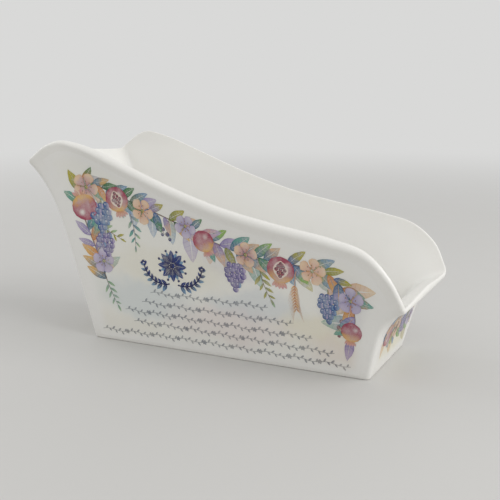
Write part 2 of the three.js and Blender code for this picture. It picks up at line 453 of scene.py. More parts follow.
@dataclass
class Rings:
    """Rings of vertices, each with the guides that the wall rule places it by."""

    guides: list[Guides] = field(default_factory=list)
    shares: list[np.ndarray] = field(default_factory=list)
    laws: list[RingLaw] = field(default_factory=list)
    rubbed: list[float] = field(default_factory=list)

    def add(
        self, law: RingLaw, guides: Guides, share: float | np.ndarray = 0.0, rubbed: float = 0.0
    ) -> None:
        """Adds a ring.

        Args:
            law: How its vertices are placed.
            guides: Three guides for each vertex.
            share: Where the vertices lie between their guides.
            rubbed: How much hands and table rub the ring in use, from 0 to 1.
        """
        self.guides.append(guides)
        self.shares.append(np.broadcast_to(np.asarray(share, dtype=float), guides[0].shape[:1]))
        self.laws.append(law)
        self.rubbed.append(rubbed)

    def values(self) -> dict[str, np.ndarray]:
        """Gathers the rings' guides for the tree.

        Returns:
            The named values for each vertex, with lengths in metres.
        """
        count = len(self.shares[0])
        named = {f"guide_{k}": np.vstack([g[k] for g in self.guides]) * MM for k in range(3)}
        named["share"] = np.concatenate(self.shares)
        named["law"] = np.repeat([law.value for law in self.laws], count)
        named["rubbed"] = np.repeat(self.rubbed, count)
        return named


def wall_rule_tree() -> NodeTree:
    """Makes the tree that places each vertex from its guides, shades the skin and gives it its finish.

    Returns:
        The tree. Its own inputs are the power of the lip's curl and the part's shift.
    """
    tree = new_tree("Wall rule", {"Curl Power": "Float", "Shift": "Vector"})
    node = partial(add_node, tree)
    given = node("NodeGroupInput").outputs
    start, middle, end, push = (
        node("GeometryNodeInputNamedAttribute", {"Name": name}, data_type="FLOAT_VECTOR")
        for name in ("guide_0", "guide_1", "guide_2", "push")
    )
    share, law = (
        node("GeometryNodeInputNamedAttribute", {"Name": name}, data_type="FLOAT")
        for name in ("share", "law")
    )
    straight = node("ShaderNodeMix", {"Factor": share, "A": start, "B": middle}, data_type="VECTOR")
    leaving = node("ShaderNodeMix", {"Factor": share, "A": middle, "B": end}, data_type="VECTOR")
    bend = node("ShaderNodeMix", {"Factor": share, "A": straight, "B": leaving}, data_type="VECTOR")
    curl = node("ShaderNodeMath", {0: share, 1: given["Curl Power"]}, operation="POWER")
    overhang = node("ShaderNodeVectorMath", {0: end, 1: middle}, operation="SUBTRACT")
    curled = node("ShaderNodeVectorMath", {0: overhang, "Scale": curl}, operation="SCALE")
    wall = node("ShaderNodeVectorMath", {0: straight, 1: curled}, operation="ADD")
    angle = node("ShaderNodeMath", {0: share, 1: math.pi}, operation="MULTIPLY")
    half_round = start
    for guide, name in ((middle, "COSINE"), (end, "SINE")):
        part = node("ShaderNodeMath", {0: angle}, operation=name)
        reach = node("ShaderNodeVectorMath", {0: guide, "Scale": part}, operation="SCALE")
        half_round = node("ShaderNodeVectorMath", {0: half_round, 1: reach}, operation="ADD")
    skin = node("GeometryNodeIndexSwitch", data_type="VECTOR")
    skin.index_switch_items.new()
    for socket, source in zip(skin.inputs, (law, bend, wall, half_round)):
        tree.links.new(next(s for s in source.outputs if s.enabled), socket)
    for offset in (push, given["Shift"]):
        skin = node("ShaderNodeVectorMath", {0: skin, 1: offset}, operation="ADD")
    skin = node("GeometryNodeSetPosition", {"Geometry": given["Geometry"], "Position": skin})
    return end_tree(tree, skin, ("guide_*", "push", "law", "share"))


@dataclass(frozen=True)
class Moulding:
    """The trough: its sizes in millimetres, and the skins that the wall rule makes of them."""

    foot_length: float = 213.5
    foot_width: float = 80.0
    foot_corner: float = 3.2
    foot_edge: float = 1.2
    foot_band: float = 9.0
    recess_depth: float = 1.2
    recess_slope: float = 0.8
    wall: float = 3.0
    wall_extra: float = 0.5
    floor: float = 3.4
    inside_fillet: float = 6.0
    inside_corner: float = 11.0
    ear: tuple[LipStation, ...] = (
        LipStation(37.6, 21.3, 129.2),
        LipStation(8.3, 20.9, 135.6),
        LipStation(8.5, 20.6, 141.0),
        LipStation(11.0, 19.3, 144.0),
        LipStation(14.0, 17.6, 140.9),
    )
    sweep_out: float = 17.4
    sweep_heights: tuple[float, ...] = (126.7, 112.6, 101.2, 93.9)
    shoulder: tuple[LipStation, ...] = (
        LipStation(24.5, 16.3, 50.3),
        LipStation(3.35, 17.3, 58.6),
        LipStation(7.15, 19.6, 71.1),
        LipStation(15.5, 18.4, 83.3),
        LipStation(22.6, 17.4, 88.2),
    )
    tip_rounding: float = 6.5
    lip_thickness: float = 5.5
    tip_thickness: float = 3.0
    tip_taper: float = 70.0  # how far from a tip the lip comes to its full thickness
    inner_rounding: float = 0.9
    high_end_curl: float = 10.6
    low_end_curl: float = 11.5
    side_curl: float = 4.5
    spout_ease: float = 7.0  # how much further in the inner wall of the low end starts its curl
    curl_power: float = 7.0
    wall_corner: float = 9.0
    foil_above_foot: float = 3.0
    foil_below_lip: float = 4.0
    foil_from_corner: float = 4.0
    foil_back: float = 0.01  # the foil's layers, from the wall outwards
    foil_face: float = 0.06
    shift: float = 5.902  # how far the foot's middle lies from the middle of the whole, towards the low end
    sharp_angle: float = math.radians(35)
    nearby: float = 0.001  # share of a wall's height over which its direction is taken
    side_steps: int = 132
    end_steps: int = 44
    corner_steps: int = 12
    wall_rows: int = 44
    outer_crowding: float = 0.7  # these two bring the rows closer together towards the lip
    inner_crowding: float = 1.5
    edge_steps: int = 5
    outer_round_steps: int = 12
    inner_round_steps: int = 6
    fillet_steps: int = 8

    @property
    def steps(self) -> tuple[int, ...]:
        """How many steps each wall is divided into."""
        return (self.side_steps, self.end_steps) * 2

    def foot_loop(self, inset: float, height: float, corner: float) -> Loop:
        """Draws the foot's outline.

        Args:
            inset: How far it is drawn in.
            height: Its height over the table.
            corner: How far along each edge a rounded corner starts.

        Returns:
            The outline.
        """
        x, y = self.foot_length / 2 - inset, self.foot_width / 2 - inset
        ends = np.array([[-x, -y, height], [x, -y, height], [x, y, height], [-x, y, height]])
        lines = [by_length(np.array([ends[k], ends[(k + 1) % 4]])) for k in range(4)]
        return Loop(tuple(edge for edge, _ in lines), tuple(length for _, length in lines), corner)

    def lip_curve(self) -> Points:
        """Draws the lip of the wall that faces -Y.

        Returns:
            Points along it, from the high tip to the low one.
        """
        middle = -self.foot_width / 2
        ends = []
        for end, stations in ((-1, self.ear), (1, self.shoulder)):
            steps = np.array([station.on for station in stations])
            beyond = 2 * steps[0] - np.cumsum(steps)
            places = [
                [end * (self.foot_length / 2 + x), middle - station.out, station.height]
                for x, station in zip(beyond, stations)
            ]
            ends.append(np.array(places))
        ear, shoulder = ends[0], ends[1][::-1]
        count = len(self.sweep_heights)
        x = blend(ear[-1, 0], shoulder[0, 0], np.arange(1, count + 1) / (count + 1))
        sweep = np.stack([x, np.full(count, middle - self.sweep_out), self.sweep_heights], axis=1)
        return smooth_curve(np.vstack([ear, sweep, shoulder]))

    def reach_loop(self, cut: float, curl_share: float, low_end_extra: float = 0.0) -> Loop:
        """Draws the outline that the four walls reach.

        Args:
            cut: Rounding at its corners.
            curl_share: How much of the lip's curl it is drawn in by.
            low_end_extra: How much further the low end is drawn in.

        Returns:
            The outline.
        """
        near = self.lip_curve()
        far = near[::-1] * [1, -1, 1]
        outline = (near, np.array([near[-1], far[0]]), far, np.array([far[-1], near[0]]))
        lines = [by_length(line) for line in outline]
        high, low, side = -self.high_end_curl, self.low_end_curl + low_end_extra, self.side_curl
        curls = np.array([[high, -side, 0], [low, -side, 0], [low, side, 0], [high, side, 0]])

        def drawn_in(k: int) -> Edge:
            """Edge k, drawn in by its share of the curl."""
            line, start, end = lines[k][0], curls[k], curls[(k + 1) % 4]
            return lambda shares: line(shares) - curl_share * blend(start, end, np.asarray(shares)[:, None])

        return Loop(tuple(drawn_in(k) for k in range(4)), tuple(length for _, length in lines), cut)

    def outside(self) -> tuple[Loop, Loop, Loop]:
        """The outlines that guide the walls' outside: the foot, what the walls reach, and the lip."""
        foot = self.foot_loop(0, 0, self.foot_corner)
        return foot, self.reach_loop(self.wall_corner, 1), self.reach_loop(self.tip_rounding, 0)

    def wall_point(self, guides: Guides, share: float | np.ndarray) -> Points:
        """Points on a wall, from its foot, reach and lip, at a share of its height."""
        foot, reach, lip = guides
        return blend(foot, reach, share) + (lip - reach) * share**self.curl_power

    def outward(self, guides: Guides, share: float | np.ndarray, closed: bool) -> Points:
        """Finds the outward direction of a row of a wall.

        Args:
            guides: The row's foot, reach and lip.
            share: Share of the height at which it lies.
            closed: Whether the row goes all the way round.

        Returns:
            A unit vector for each point.
        """
        row = self.wall_point(guides, share)
        up = row - self.wall_point(guides, share - self.nearby)
        if closed:
            along = np.roll(row, -1, axis=0) - np.roll(row, 1, axis=0)
        else:
            along = np.gradient(row, axis=0)
        across = np.cross(along, up)
        return across / np.linalg.norm(across, axis=1, keepdims=True)

    def thickness(self, lip: Loop) -> np.ndarray:
        """Works out how thick the lip is, which is less towards the four tips.

        Args:
            lip: The lip's outline.

        Returns:
            The thickness at each point of it, in millimetres.
        """
        away = lip.from_corner(self.steps, self.corner_steps) / self.tip_taper
        share = np.clip(away, 0, 1)
        return blend(self.tip_thickness, self.lip_thickness, share**2 * (3 - 2 * share))

    def rings(self) -> Rings:
        """Draws the trough as rings.

        Returns:
            The rings, from the middle of its underside, over the lip, to the middle of its floor.
        """

        def whole(loop: Loop) -> Points:
            """The loop's points, at the fineness of this mesh."""
            return loop.all_round(self.steps, self.corner_steps)

        outside = self.outside()
        outer = foot, _, lip = tuple(whole(loop) for loop in outside)
        outward = self.outward(outer, 1.0, closed=True)
        up = lip - self.wall_point(outer, 1 - self.nearby)
        up /= np.linalg.norm(up, axis=1, keepdims=True)
        floor_top = self.recess_depth + self.floor
        inset = self.wall + self.wall_extra
        floor_inset = inset + self.inside_fillet
        inner_foot = whole(self.foot_loop(inset, floor_top, self.inside_corner))
        thick = self.thickness(outside[2])[:, None]
        shoulder, small = thick - self.inner_rounding, self.inner_rounding
        inwards = up * (shoulder - small) - outward * thick
        inner_reach = whole(self.reach_loop(self.wall_corner, 1, self.spout_ease)) - outward * self.wall
        inner = (inner_foot, inner_reach, lip + inwards)
        ground = whole(self.foot_loop(self.foot_edge, 0, self.foot_corner))
        first = (self.foot_edge / lip[:, 2])[:, None]
        last = (self.inside_fillet / (inner[2][:, 2] - floor_top))[:, None]

        rings = Rings()
        for inward, height in ((self.foot_band + self.recess_slope, self.recess_depth), (self.foot_band, 0)):
            edge = whole(self.foot_loop(inward, height, self.inside_corner))
            rings.add(RingLaw.BEND, (edge, edge, edge), rubbed=0.8)
        start = self.wall_point(outer, first)
        for t in np.arange(self.edge_steps) / self.edge_steps:
            rings.add(RingLaw.BEND, (ground, foot, start), t, rubbed=1.0)
        # Outside, the lowest thirtieth and the last tenth of a wall are rubbed; inside, the first twelfth.
        for t in np.linspace(0, 1, self.wall_rows + 1) ** self.outer_crowding:
            rings.add(RingLaw.WALL, outer, blend(first, 1, t)[:, 0], rubbed=max(0.0, 1 - 30 * t, 10 * t - 9))
        half_round = (lip - outward * shoulder, outward * shoulder, up * shoulder)
        for t in np.arange(1, self.outer_round_steps + 1) / (2 * self.outer_round_steps):
            rings.add(RingLaw.ROUND, half_round, t, rubbed=1.0)
        half_round = (inner[2] + outward * small, outward * small, up * small)
        for t in 0.5 + np.arange(1, self.inner_round_steps) / (2 * self.inner_round_steps):
            rings.add(RingLaw.ROUND, half_round, t, rubbed=1.0)
        for t in np.linspace(0, 1, self.wall_rows + 1) ** self.inner_crowding:
            rings.add(RingLaw.WALL, inner, blend(1, last, t)[:, 0], rubbed=max(0.0, 1 - 12 * t))
        end = self.wall_point(inner, last)
        floor_edge = whole(self.foot_loop(floor_inset, floor_top, self.inside_corner))
        for t in np.arange(1, self.fillet_steps) / self.fillet_steps:
            rings.add(RingLaw.BEND, (end, inner_foot, floor_edge), t)
        for extra in (0, 2):
            edge = whole(self.foot_loop(floor_inset + extra, floor_top, self.inside_corner))
            rings.add(RingLaw.BEND, (edge, edge, edge))
        return rings

    def trough(self, tree: NodeTree, material: Material) -> Object:
        """Makes the trough.

        Args:
            tree: The wall rule.
            material: The trough's finish.

        Returns:
            The piece.
        """
        rings = self.rings()
        values = rings.values()
        index = np.arange(len(values["share"])).reshape(len(rings.laws), -1)
        loops = looped(index)
        under, top = index.size, index.size + 1
        faces = quads(loops) + fan(under, loops[0, ::-1]) + fan(top, loops[-1])
        centres = np.array([[0, 0, self.recess_depth], [0, 0, self.recess_depth + self.floor]]) * MM
        for key, value in values.items():
            values[key] = np.concatenate([value, centres if value.ndim == 2 else [0, 0]])
        piece = mesh_object("melamine_trough", np.zeros((index.size + 2, 3)), faces, values)
        self.form(piece, tree, material)
        return piece

    def foil(self, wall: Wall, tree: NodeTree, material: Material) -> tuple[Object, np.ndarray]:
        """Makes the foil of one wall.

        Args:
            wall: The wall that it covers.
            tree: The wall rule.
            material: The foil's finish.

        Returns:
            The piece, and its outline as places on the sheet.
        """
        k = wall.order
        width = self.foot_width if k % 2 else self.foot_length
        inset = self.foil_from_corner / width
        shares = np.linspace(inset, 1 - inset, self.steps[k] + 1)
        rows = self.wall_rows + 1
        guides = tuple(loop.side(k, shares) for loop in self.outside())
        height = guides[2][:, 2]
        low, high = self.foil_above_foot / height, 1 - self.foil_below_lip / height
        share = blend(low, high, np.linspace(0, 1, rows)[:, None])
        out = np.vstack([self.outward(guides, row[:, None], closed=False) for row in share])
        border = np.minimum(share - low, high - share) * height
        sideways = np.minimum(shares - inset, 1 - inset - shares) * width
        values = {
            "share": np.tile(share.ravel(), 2),
            "push": np.vstack([out * lift * MM for lift in (self.foil_face, self.foil_back)]),
            "faded": np.tile(np.minimum(border, sideways).ravel(), 2),
            "law": np.full(2 * share.size, RingLaw.WALL.value),
        }
        values |= {f"guide_{g}": np.tile(guides[g], (2 * rows, 1)) * MM for g in range(3)}

        face, back = np.arange(2 * share.size).reshape(2, rows, -1)
        ring = looped(np.concatenate([face[0, :-1], face[:-1, -1], face[-1, :0:-1], face[:0:-1, 0]]))
        faces = quads(face) + quads(back[:, ::-1]) + quads(np.stack([ring + share.size, ring]))
        name = wall.node.replace("_foil", "_printed_foil")
        piece = mesh_object(name, np.zeros((2 * share.size, 3)), faces, values)
        self.form(piece, tree, material)
        skin = np.vstack([self.wall_point(guides, row[:, None]) for row in share])
        outline = skin[ring[:-1]] + [self.shift, 0, 0]
        return piece, outline @ wall.across + 1j * outline[:, 2]

    def form(self, piece: Object, tree: NodeTree, material: Material) -> None:
        """Places a skin's vertices by the wall rule and gives it its finish.

        Args:
            piece: The skin.
            tree: The tree that follows the wall rule.
            material: The finish's material.
        """
        values = {
            "Curl Power": self.curl_power,
            "Shift": (self.shift * MM, 0.0, 0.0),
            "Sharp Angle": self.sharp_angle,
            "Material": material,
        }
        apply_tree(piece, tree, values)


# Finishes


def new_material(name: str) -> tuple[Material, AddNode]:
    """Starts a material.

    Args:
        name: Its name.

    Returns:
        The empty material, and the function that adds a node to it.
    """
    material = bpy.data.materials.new(name)
    material.use_nodes = True
    material.node_tree.nodes.clear()
    return material, partial(add_node, material.node_tree)


@dataclass(frozen=True)
class MouldedGloss:
    """The gloss that a polished steel tool gives melamine resin: slightly uneven, with a faint waviness."""

    ior: float = 1.55
    roughness: float = 0.3
    unevenness: float = 0.03  # how much the roughness changes from patch to patch
    patch: float = 28.0  # such a patch, in millimetres
    wave: float = 9.0  # millimetres from crest to crest
    wave_height: float = 0.012

    def uneven(self, node: AddNode) -> Node:
        """Gives the roughness, which changes from patch to patch.

        Args:
            node: The function that adds a node to the material.

        Returns:
            The node that gives it.
        """
        place = node("ShaderNodeTexCoord").outputs["Object"]
        patch = node("ShaderNodeTexNoise", {"Vector": place, "Scale": 1 / (self.patch * MM), "Detail": 2.0})
        low, high = self.roughness - self.unevenness, self.roughness + self.unevenness
        return node("ShaderNodeMapRange", {"Value": patch, "To Min": low, "To Max": high})

    def surface(self, node: AddNode, tint: NodeSocket, roughness: Node) -> None:
        """Ends the material with a wavy glossy surface.

        Args:
            node: The function that adds a node to the material.
            tint: The surface's colour.
            roughness: The node that gives its roughness.
        """
        place = node("ShaderNodeTexCoord").outputs["Object"]
        waves = node("ShaderNodeTexNoise", {"Vector": place, "Scale": 1 / (self.wave * MM), "Detail": 1.0})
        bump = node("ShaderNodeBump", {"Strength": 1.0, "Distance": self.wave_height * MM, "Height": waves})
        shader = node(
            "ShaderNodeBsdfPrincipled",
            {"Base Color": tint, "Roughness": roughness, "IOR": self.ior, "Normal": bump},
        )
        node("ShaderNodeOutputMaterial", {"Surface": shader})


@dataclass(frozen=True)
class MouldedMelamine(MouldedGloss):
    """Melamine resin, compression moulded in a polished steel tool.

    It is dense, bright white and glossy. Hands and the table leave a haze of fine rub marks on its lip and
    its foot.
    """

    colour: str = "efeeea"
    rubbed_colour: str = "e9e7e1"
    rubbed_roughness: float = 0.42
    haze: float = 1.6  # a rub mark's width in millimetres, drawn coarser than real so that it shows

    def build(self) -> Material:
        """Builds the finish.

        Returns:
            The material.
        """
        material, node = new_material("moulded_melamine_white")
        place = node("ShaderNodeTexCoord").outputs["Object"]
        rubbed = node("ShaderNodeAttribute", attribute_name="rubbed").outputs["Fac"]
        marks = node("ShaderNodeTexNoise", {"Vector": place, "Scale": 1 / (self.haze * MM), "Detail": 3.0})
        worn = node("ShaderNodeMath", {0: rubbed, 1: marks}, operation="MULTIPLY")
        tint = node(
            "ShaderNodeMix",
            {"Factor": worn, "A": linear(self.colour), "B": linear(self.rubbed_colour)},
            data_type="RGBA",
        )
        gloss = node("ShaderNodeMix", {"Factor": worn, "A": self.uneven(node), "B": self.rubbed_roughness})
        self.surface(node, tint.outputs[2], gloss)
        return material


@dataclass(frozen=True)
class Wash:
    """A soft wash of colour on a sheet: its middle and reach in millimetres, and how strong it is."""

    across: float
    up: float
    reach_across: float
    reach_up: float
    colour: str
    strength: float


LONG_WALL_WASHES = (
    Wash(-56, 36, 50, 17, "c3d6e6", 0.38),
    Wash(-34, 60, 60, 16, "efe8cc", 0.28),
    Wash(14, 24, 52, 17, "e9cad4", 0.28),
    Wash(34, 42, 40, 14, "c6d4e8", 0.36),
    Wash(30, 70, 48, 14, "dad6e8", 0.34),
    Wash(76, 30, 30, 15, "f0e0ae", 0.3),
    Wash(98, 14, 30, 15, "ecd2c8", 0.32),
    Wash(-74, 12, 46, 13, "ece3d2", 0.18),
    Wash(98, 50, 22, 26, "d4d2e6", 0.4),
)
END_WALL_WASHES = (
    Wash(-14, 30, 24, 12, "c9dae6", 0.45),
    Wash(4, 12, 40, 12, "f4ecc6", 0.5),
    Wash(6, 60, 34, 18, "d2cde6", 0.6),
    Wash(-8, 94, 34, 18, "d3e2c6", 0.6),
    Wash(20, 80, 22, 14, "f0e0ac", 0.5),
)


@dataclass(frozen=True)
class OverlaidPrint(MouldedGloss):
    """Decor paper printed in watercolour tones and pressed into the melamine under a clear glaze of it.

    The glaze gives it the moulding's own gloss. The print shows soft washes with darker drying edges and the
    grain that pigment leaves in the hollows of rough paper.
    """

    paper: str = "edece5"
    shell: str = "efeeea"
    grain: float = 0.55  # hollows of the paper, in millimetres
    grain_span: tuple[float, float] = (0.3, 0.7)  # from a hollow's bottom to the paper's peaks
    bloom: float = 5.0  # patches where the paint ran, in millimetres
    run: tuple[float, float] = (1.6, -0.8)  # how far such a patch carries one tint into the other
    drift: float = 24.0  # from one bend of a wash's outline to the next, in millimetres
    wander: float = 30.0  # how far the outline may wander, in millimetres
    wash_rim: tuple[float, float] = (1.15, 0.35)  # where a wash starts and is full, in shares of its reach
    fade: float = 11.0  # over which the print fades out towards its foil's edge, in millimetres
    pooling: float = 0.3  # pigment that gathers at a shape's drying edge
    edge_power: float = 5.0  # how narrow that edge is
    rib_lean: float = -9.0  # a leaf's ribs: how they slant, how closely they follow each other, how dark
    rib_count: float = 44.0
    rib_depth: float = 0.22
    glint_place: tuple[float, float, float] = (-0.32, 0.36, 0.0)
    glint_rim: tuple[float, float] = (0.34, 0.06)
    glint_depth: float = 0.48  # how much pigment a fruit's glint lacks

    def washes(self, wall: Wall) -> NodeTree:
        """Builds the node group that gives the colour of a wall's washed paper.

        Args:
            wall: The wall whose sheet is washed.

        Returns:
            The group, with one colour output.
        """
        group = bpy.data.node_groups.new(f"washes_{wall.name.lower()}", "ShaderNodeTree")
        group.interface.new_socket("Color", in_out="OUTPUT", socket_type="NodeSocketColor")
        node = partial(add_node, group)
        place = node("ShaderNodeTexCoord").outputs["Object"]
        across = node("ShaderNodeVectorMath", {0: place, 1: tuple(wall.across)}, operation="DOT_PRODUCT")
        height = node("ShaderNodeSeparateXYZ", {"Vector": place}).outputs["Z"]
        sheet = node("ShaderNodeCombineXYZ", {"X": across.outputs["Value"], "Y": height})
        drift = node("ShaderNodeTexNoise", {"Vector": place, "Scale": 1 / (self.drift * MM), "Detail": 4.0})
        drift = {0: drift.outputs["Color"], 1: (0.5, 0.5, 0.5)}
        wander = node("ShaderNodeVectorMath", drift, operation="SUBTRACT")
        wander = node("ShaderNodeVectorMath", {0: wander, "Scale": self.wander * MM}, operation="SCALE")
        sheet = node("ShaderNodeVectorMath", {0: sheet, 1: wander}, operation="ADD")
        grain = node("ShaderNodeTexNoise", {"Vector": place, "Scale": 1 / (self.grain * MM), "Detail": 1.0})
        hollow, peak = self.grain_span
        grain = {"Value": grain, "From Min": hollow, "From Max": peak, "To Min": 0.86}
        grain = node("ShaderNodeMapRange", grain)
        rim, full = self.wash_rim
        colour: object = linear(self.paper)
        way = wall.across[0] or 1.0  # the back wall mirrors the front one
        for wash in END_WALL_WASHES if wall.order % 2 else LONG_WALL_WASHES:
            centre = (-way * wash.across / wash.reach_across, -wash.up / wash.reach_up, 0.0)
            scale = (1 / (wash.reach_across * MM), 1 / (wash.reach_up * MM), 0.0)
            off = node("ShaderNodeVectorMath", {0: sheet, 1: scale, 2: centre}, operation="MULTIPLY_ADD")
            far = node("ShaderNodeVectorMath", {0: off}, operation="LENGTH").outputs["Value"]
            amount = node(
                "ShaderNodeMapRange",
                {"Value": far, "From Min": rim, "From Max": full, "To Max": wash.strength},
                interpolation_type="SMOOTHSTEP",
            )
            amount = node("ShaderNodeMath", {0: amount, 1: grain}, operation="MULTIPLY")
            colour = node(
                "ShaderNodeMix",
                {"Factor": amount, "A": colour, "B": linear(wash.colour)},
                data_type="RGBA",
                blend_type="MULTIPLY",
            ).outputs[2]
        node("NodeGroupOutput", {"Color": colour})
        return group

    def ground(self, washes: NodeTree, wall: Wall) -> Material:
        """Builds the washed ground of a foil, which fades into the shell's white at its edge.

        Args:
            washes: The group that gives the washed paper's colour.
            wall: The foil's wall.

        Returns:
            The material.
        """
        material, node = new_material(f"overlaid_print_ground_{wall.name.lower()}")
        paper = node("ShaderNodeGroup", node_tree=washes)
        border = node("ShaderNodeAttribute", attribute_name="faded").outputs["Fac"]
        fade = {"Value": border, "From Max": self.fade}
        amount = node("ShaderNodeMapRange", fade, interpolation_type="SMOOTHSTEP")
        tints = {"Factor": amount, "A": linear(self.shell), "B": paper}
        tint = node("ShaderNodeMix", tints, data_type="RGBA").outputs[2]
        self.surface(node, tint, self.uneven(node))
        return material

    def paint(self, washes: NodeTree, wall: Wall) -> Material:
        """Builds the painted shapes of a foil. Each vertex brings its two tints and its dose of pigment.

        Args:
            washes: The group that gives the washed paper's colour.
            wall: The foil's wall.

        Returns:
            The material.
        """
        material, node = new_material(f"overlaid_print_paint_{wall.name.lower()}")
        place = node("ShaderNodeTexCoord").outputs["Object"]
        paper = node("ShaderNodeGroup", node_tree=washes)
        base, tip, local = (
            node("ShaderNodeAttribute", attribute_name=name).outputs["Vector"]
            for name in ("tint_base", "tint_tip", "local")
        )
        edge, dose, shine, veins = (
            node("ShaderNodeAttribute", attribute_name=name).outputs["Fac"]
            for name in ("edge", "dose", "shine", "veins")
        )
        bloom, grain = (
            node("ShaderNodeTexNoise", {"Vector": place, "Scale": 1 / (size * MM), "Detail": detail})
            for size, detail in ((self.bloom, 3.0), (self.grain, 2.0))
        )
        spot = node("ShaderNodeSeparateXYZ", {"Vector": local})
        run = node("ShaderNodeMath", {0: bloom, 1: self.run[0], 2: self.run[1]}, operation="MULTIPLY_ADD")
        run = node("ShaderNodeMath", {0: run, 1: spot.outputs["X"]}, operation="ADD")
        run = node("ShaderNodeMapRange", {"Value": run}, interpolation_type="SMOOTHSTEP")
        tint = node("ShaderNodeMix", {"Factor": run, "A": base, "B": tip}, data_type="VECTOR").outputs[1]

        # How much pigment lies where: patches, the drying edge, the paper's grain, ribs and glints.
        patches = {"Value": bloom, "From Min": 0.3, "From Max": 0.72, "To Min": 0.62, "To Max": 1.05}
        patches = node("ShaderNodeMapRange", patches)
        pooled = node("ShaderNodeMath", {0: edge, 1: self.edge_power}, operation="POWER")
        density = node("ShaderNodeMath", {0: pooled, 1: self.pooling, 2: patches}, operation="MULTIPLY_ADD")
        hollow, peak = self.grain_span
        grain = {"Value": grain, "From Min": hollow, "From Max": peak, "To Min": -0.1, "To Max": 0.08}
        grain = node("ShaderNodeMapRange", grain)
        lean = node("ShaderNodeMath", {0: spot.outputs["Y"]}, operation="ABSOLUTE")
        lean = node("ShaderNodeMath", {0: lean, 1: self.rib_lean}, operation="MULTIPLY")
        ribs = {0: spot.outputs["X"], 1: self.rib_count, 2: lean}
        ribs = node("ShaderNodeMath", ribs, operation="MULTIPLY_ADD")
        ribs = node("ShaderNodeMath", {0: ribs}, operation="SINE")
        ribs = node("ShaderNodeMapRange", {"Value": ribs, "From Min": 0.7, "To Max": self.rib_depth})
        ribs = node("ShaderNodeMath", {0: ribs, 1: veins}, operation="MULTIPLY")
        glint = node("ShaderNodeVectorMath", {0: local, 1: self.glint_place}, operation="DISTANCE")
        rim, full = self.glint_rim
        glint = {"Value": glint.outputs["Value"], "From Min": rim, "From Max": full}
        glint["To Max"] = self.glint_depth
        glint = node("ShaderNodeMapRange", glint, interpolation_type="SMOOTHSTEP")
        glint = node("ShaderNodeMath", {0: glint, 1: shine}, operation="MULTIPLY")
        for part, operation in ((grain, "ADD"), (ribs, "ADD"), (glint, "SUBTRACT")):
            density = node("ShaderNodeMath", {0: density, 1: part}, operation=operation)
        density = node("ShaderNodeMath", {0: density, 1: dose}, operation="MULTIPLY", use_clamp=True)
        tints = {"Factor": density, "A": paper, "B": tint}
        painted = node("ShaderNodeMix", tints, data_type="RGBA", blend_type="MULTIPLY").outputs[2]
        self.surface(node, painted, self.uneven(node))
        return material


# The print


class Pigment(Enum):
    """Paints of the print: where the brush is set down, and where the paint has run thin."""

    TEAL = ("14668c", "74b5aa")
    BLUE = ("2259a0", "86add6")
    SAGE = ("5f9a7c", "b0d0a6")
    OLIVE = ("7c8416", "c2b944")
    LEAF = ("3c873c", "9ac45e")
    FOREST = ("125430", "4b9052")
    OCHRE = ("d4823a", "eec078")
    PEACH = ("e08f60", "f3caa2")
    ROSE = ("b04664", "e29ca4")
    LILAC = ("8877bd", "c6b8e0")
    PLUM = ("55479a", "9c84c4")
    BARK = ("6a4630", "a07a54")
    NAVY = ("0b1560", "163c94")
    SLATE = ("4a5568", "6b768a")
    WINE = ("74263f", "b05068")

    @classmethod
    def row(cls, names: str) -> tuple["Pigment", ...]:
        """The paints with these names."""
        return tuple(cls[name] for name in names.split())


Paint = Pigment | tuple[Pigment, Pigment]  # one paint, or two that run into each other


class Motif(Enum):
    """Shapes that the brush stamps, in the order of their templates."""

    LEAF = 0  # two halves with a bare midrib
    BLADE = 1  # a spindle: narrow leaves, grains, sepals
    PETAL = 2  # broad towards its tip
    DISC = 3  # berries and fruit, with a glint
    TICK = 4  # the running vines' tiny leaves


def template(motif: Motif) -> Object:
    """Makes the flat shape of a motif, one millimetre long and wide, with its base at the origin.

    Args:
        motif: The motif. A disc has its middle at the origin.

    Returns:
        The shape, with named values for its edge, glint, veins and local place.
    """
    if motif is Motif.DISC:
        points, faces = disc(16, (0.3, 0.42, 0.5))
        edge = 2 * np.abs(points[:, 0] + 1j * points[:, 1])
        local = points * 2
    else:
        widths = {
            Motif.LEAF: lambda u: np.sin(math.pi * u**0.8) ** 0.85,
            Motif.BLADE: lambda u: np.sin(math.pi * u) ** 0.8,
            Motif.PETAL: lambda u: np.sin(math.pi * u**1.8) ** 0.6,
            Motif.TICK: lambda u: np.sin(math.pi * u) ** 0.7,
        }
        steps = 5 if motif is Motif.TICK else 9
        islands = {
            Motif.LEAF: [(0.06, 0.75, 1.0), (-1.0, -0.75, -0.06)],
            Motif.TICK: [(-1.0, 0.0, 1.0)],
        }.get(motif, [(-1.0, -0.72, 0.0, 0.72, 1.0)])
        u = (1 - np.cos(math.pi * blend(0.06, 0.94, np.linspace(0, 1, steps + 1)))) / 2
        half = widths[motif](u) / 2
        rim = np.maximum(0, 1 - 9 * np.minimum(u, 1 - u))
        rows, edges, faces, first = [], [], [], 0
        for island in islands:
            across = np.array(island)
            grid = np.stack(np.broadcast_arrays(u[:, None], across * half[:, None], 0.0), axis=-1)
            rows.append(grid.reshape(-1, 3))
            edges.append(np.maximum(np.abs(across), rim[:, None]).ravel())
            index = np.arange(grid[..., 0].size).reshape(grid.shape[:2]) + first
            faces += quads(index.T)
            first += index.size
        points, edge = np.vstack(rows), np.concatenate(edges)
        local = points
    count = len(points)
    values = {
        "edge": edge,
        "local": local,
        "shine": np.full(count, float(motif is Motif.DISC)),
        "veins": np.full(count, float(motif is Motif.LEAF)),
    }
    return mesh_object(f"motif_{motif.value}", points, faces, values)


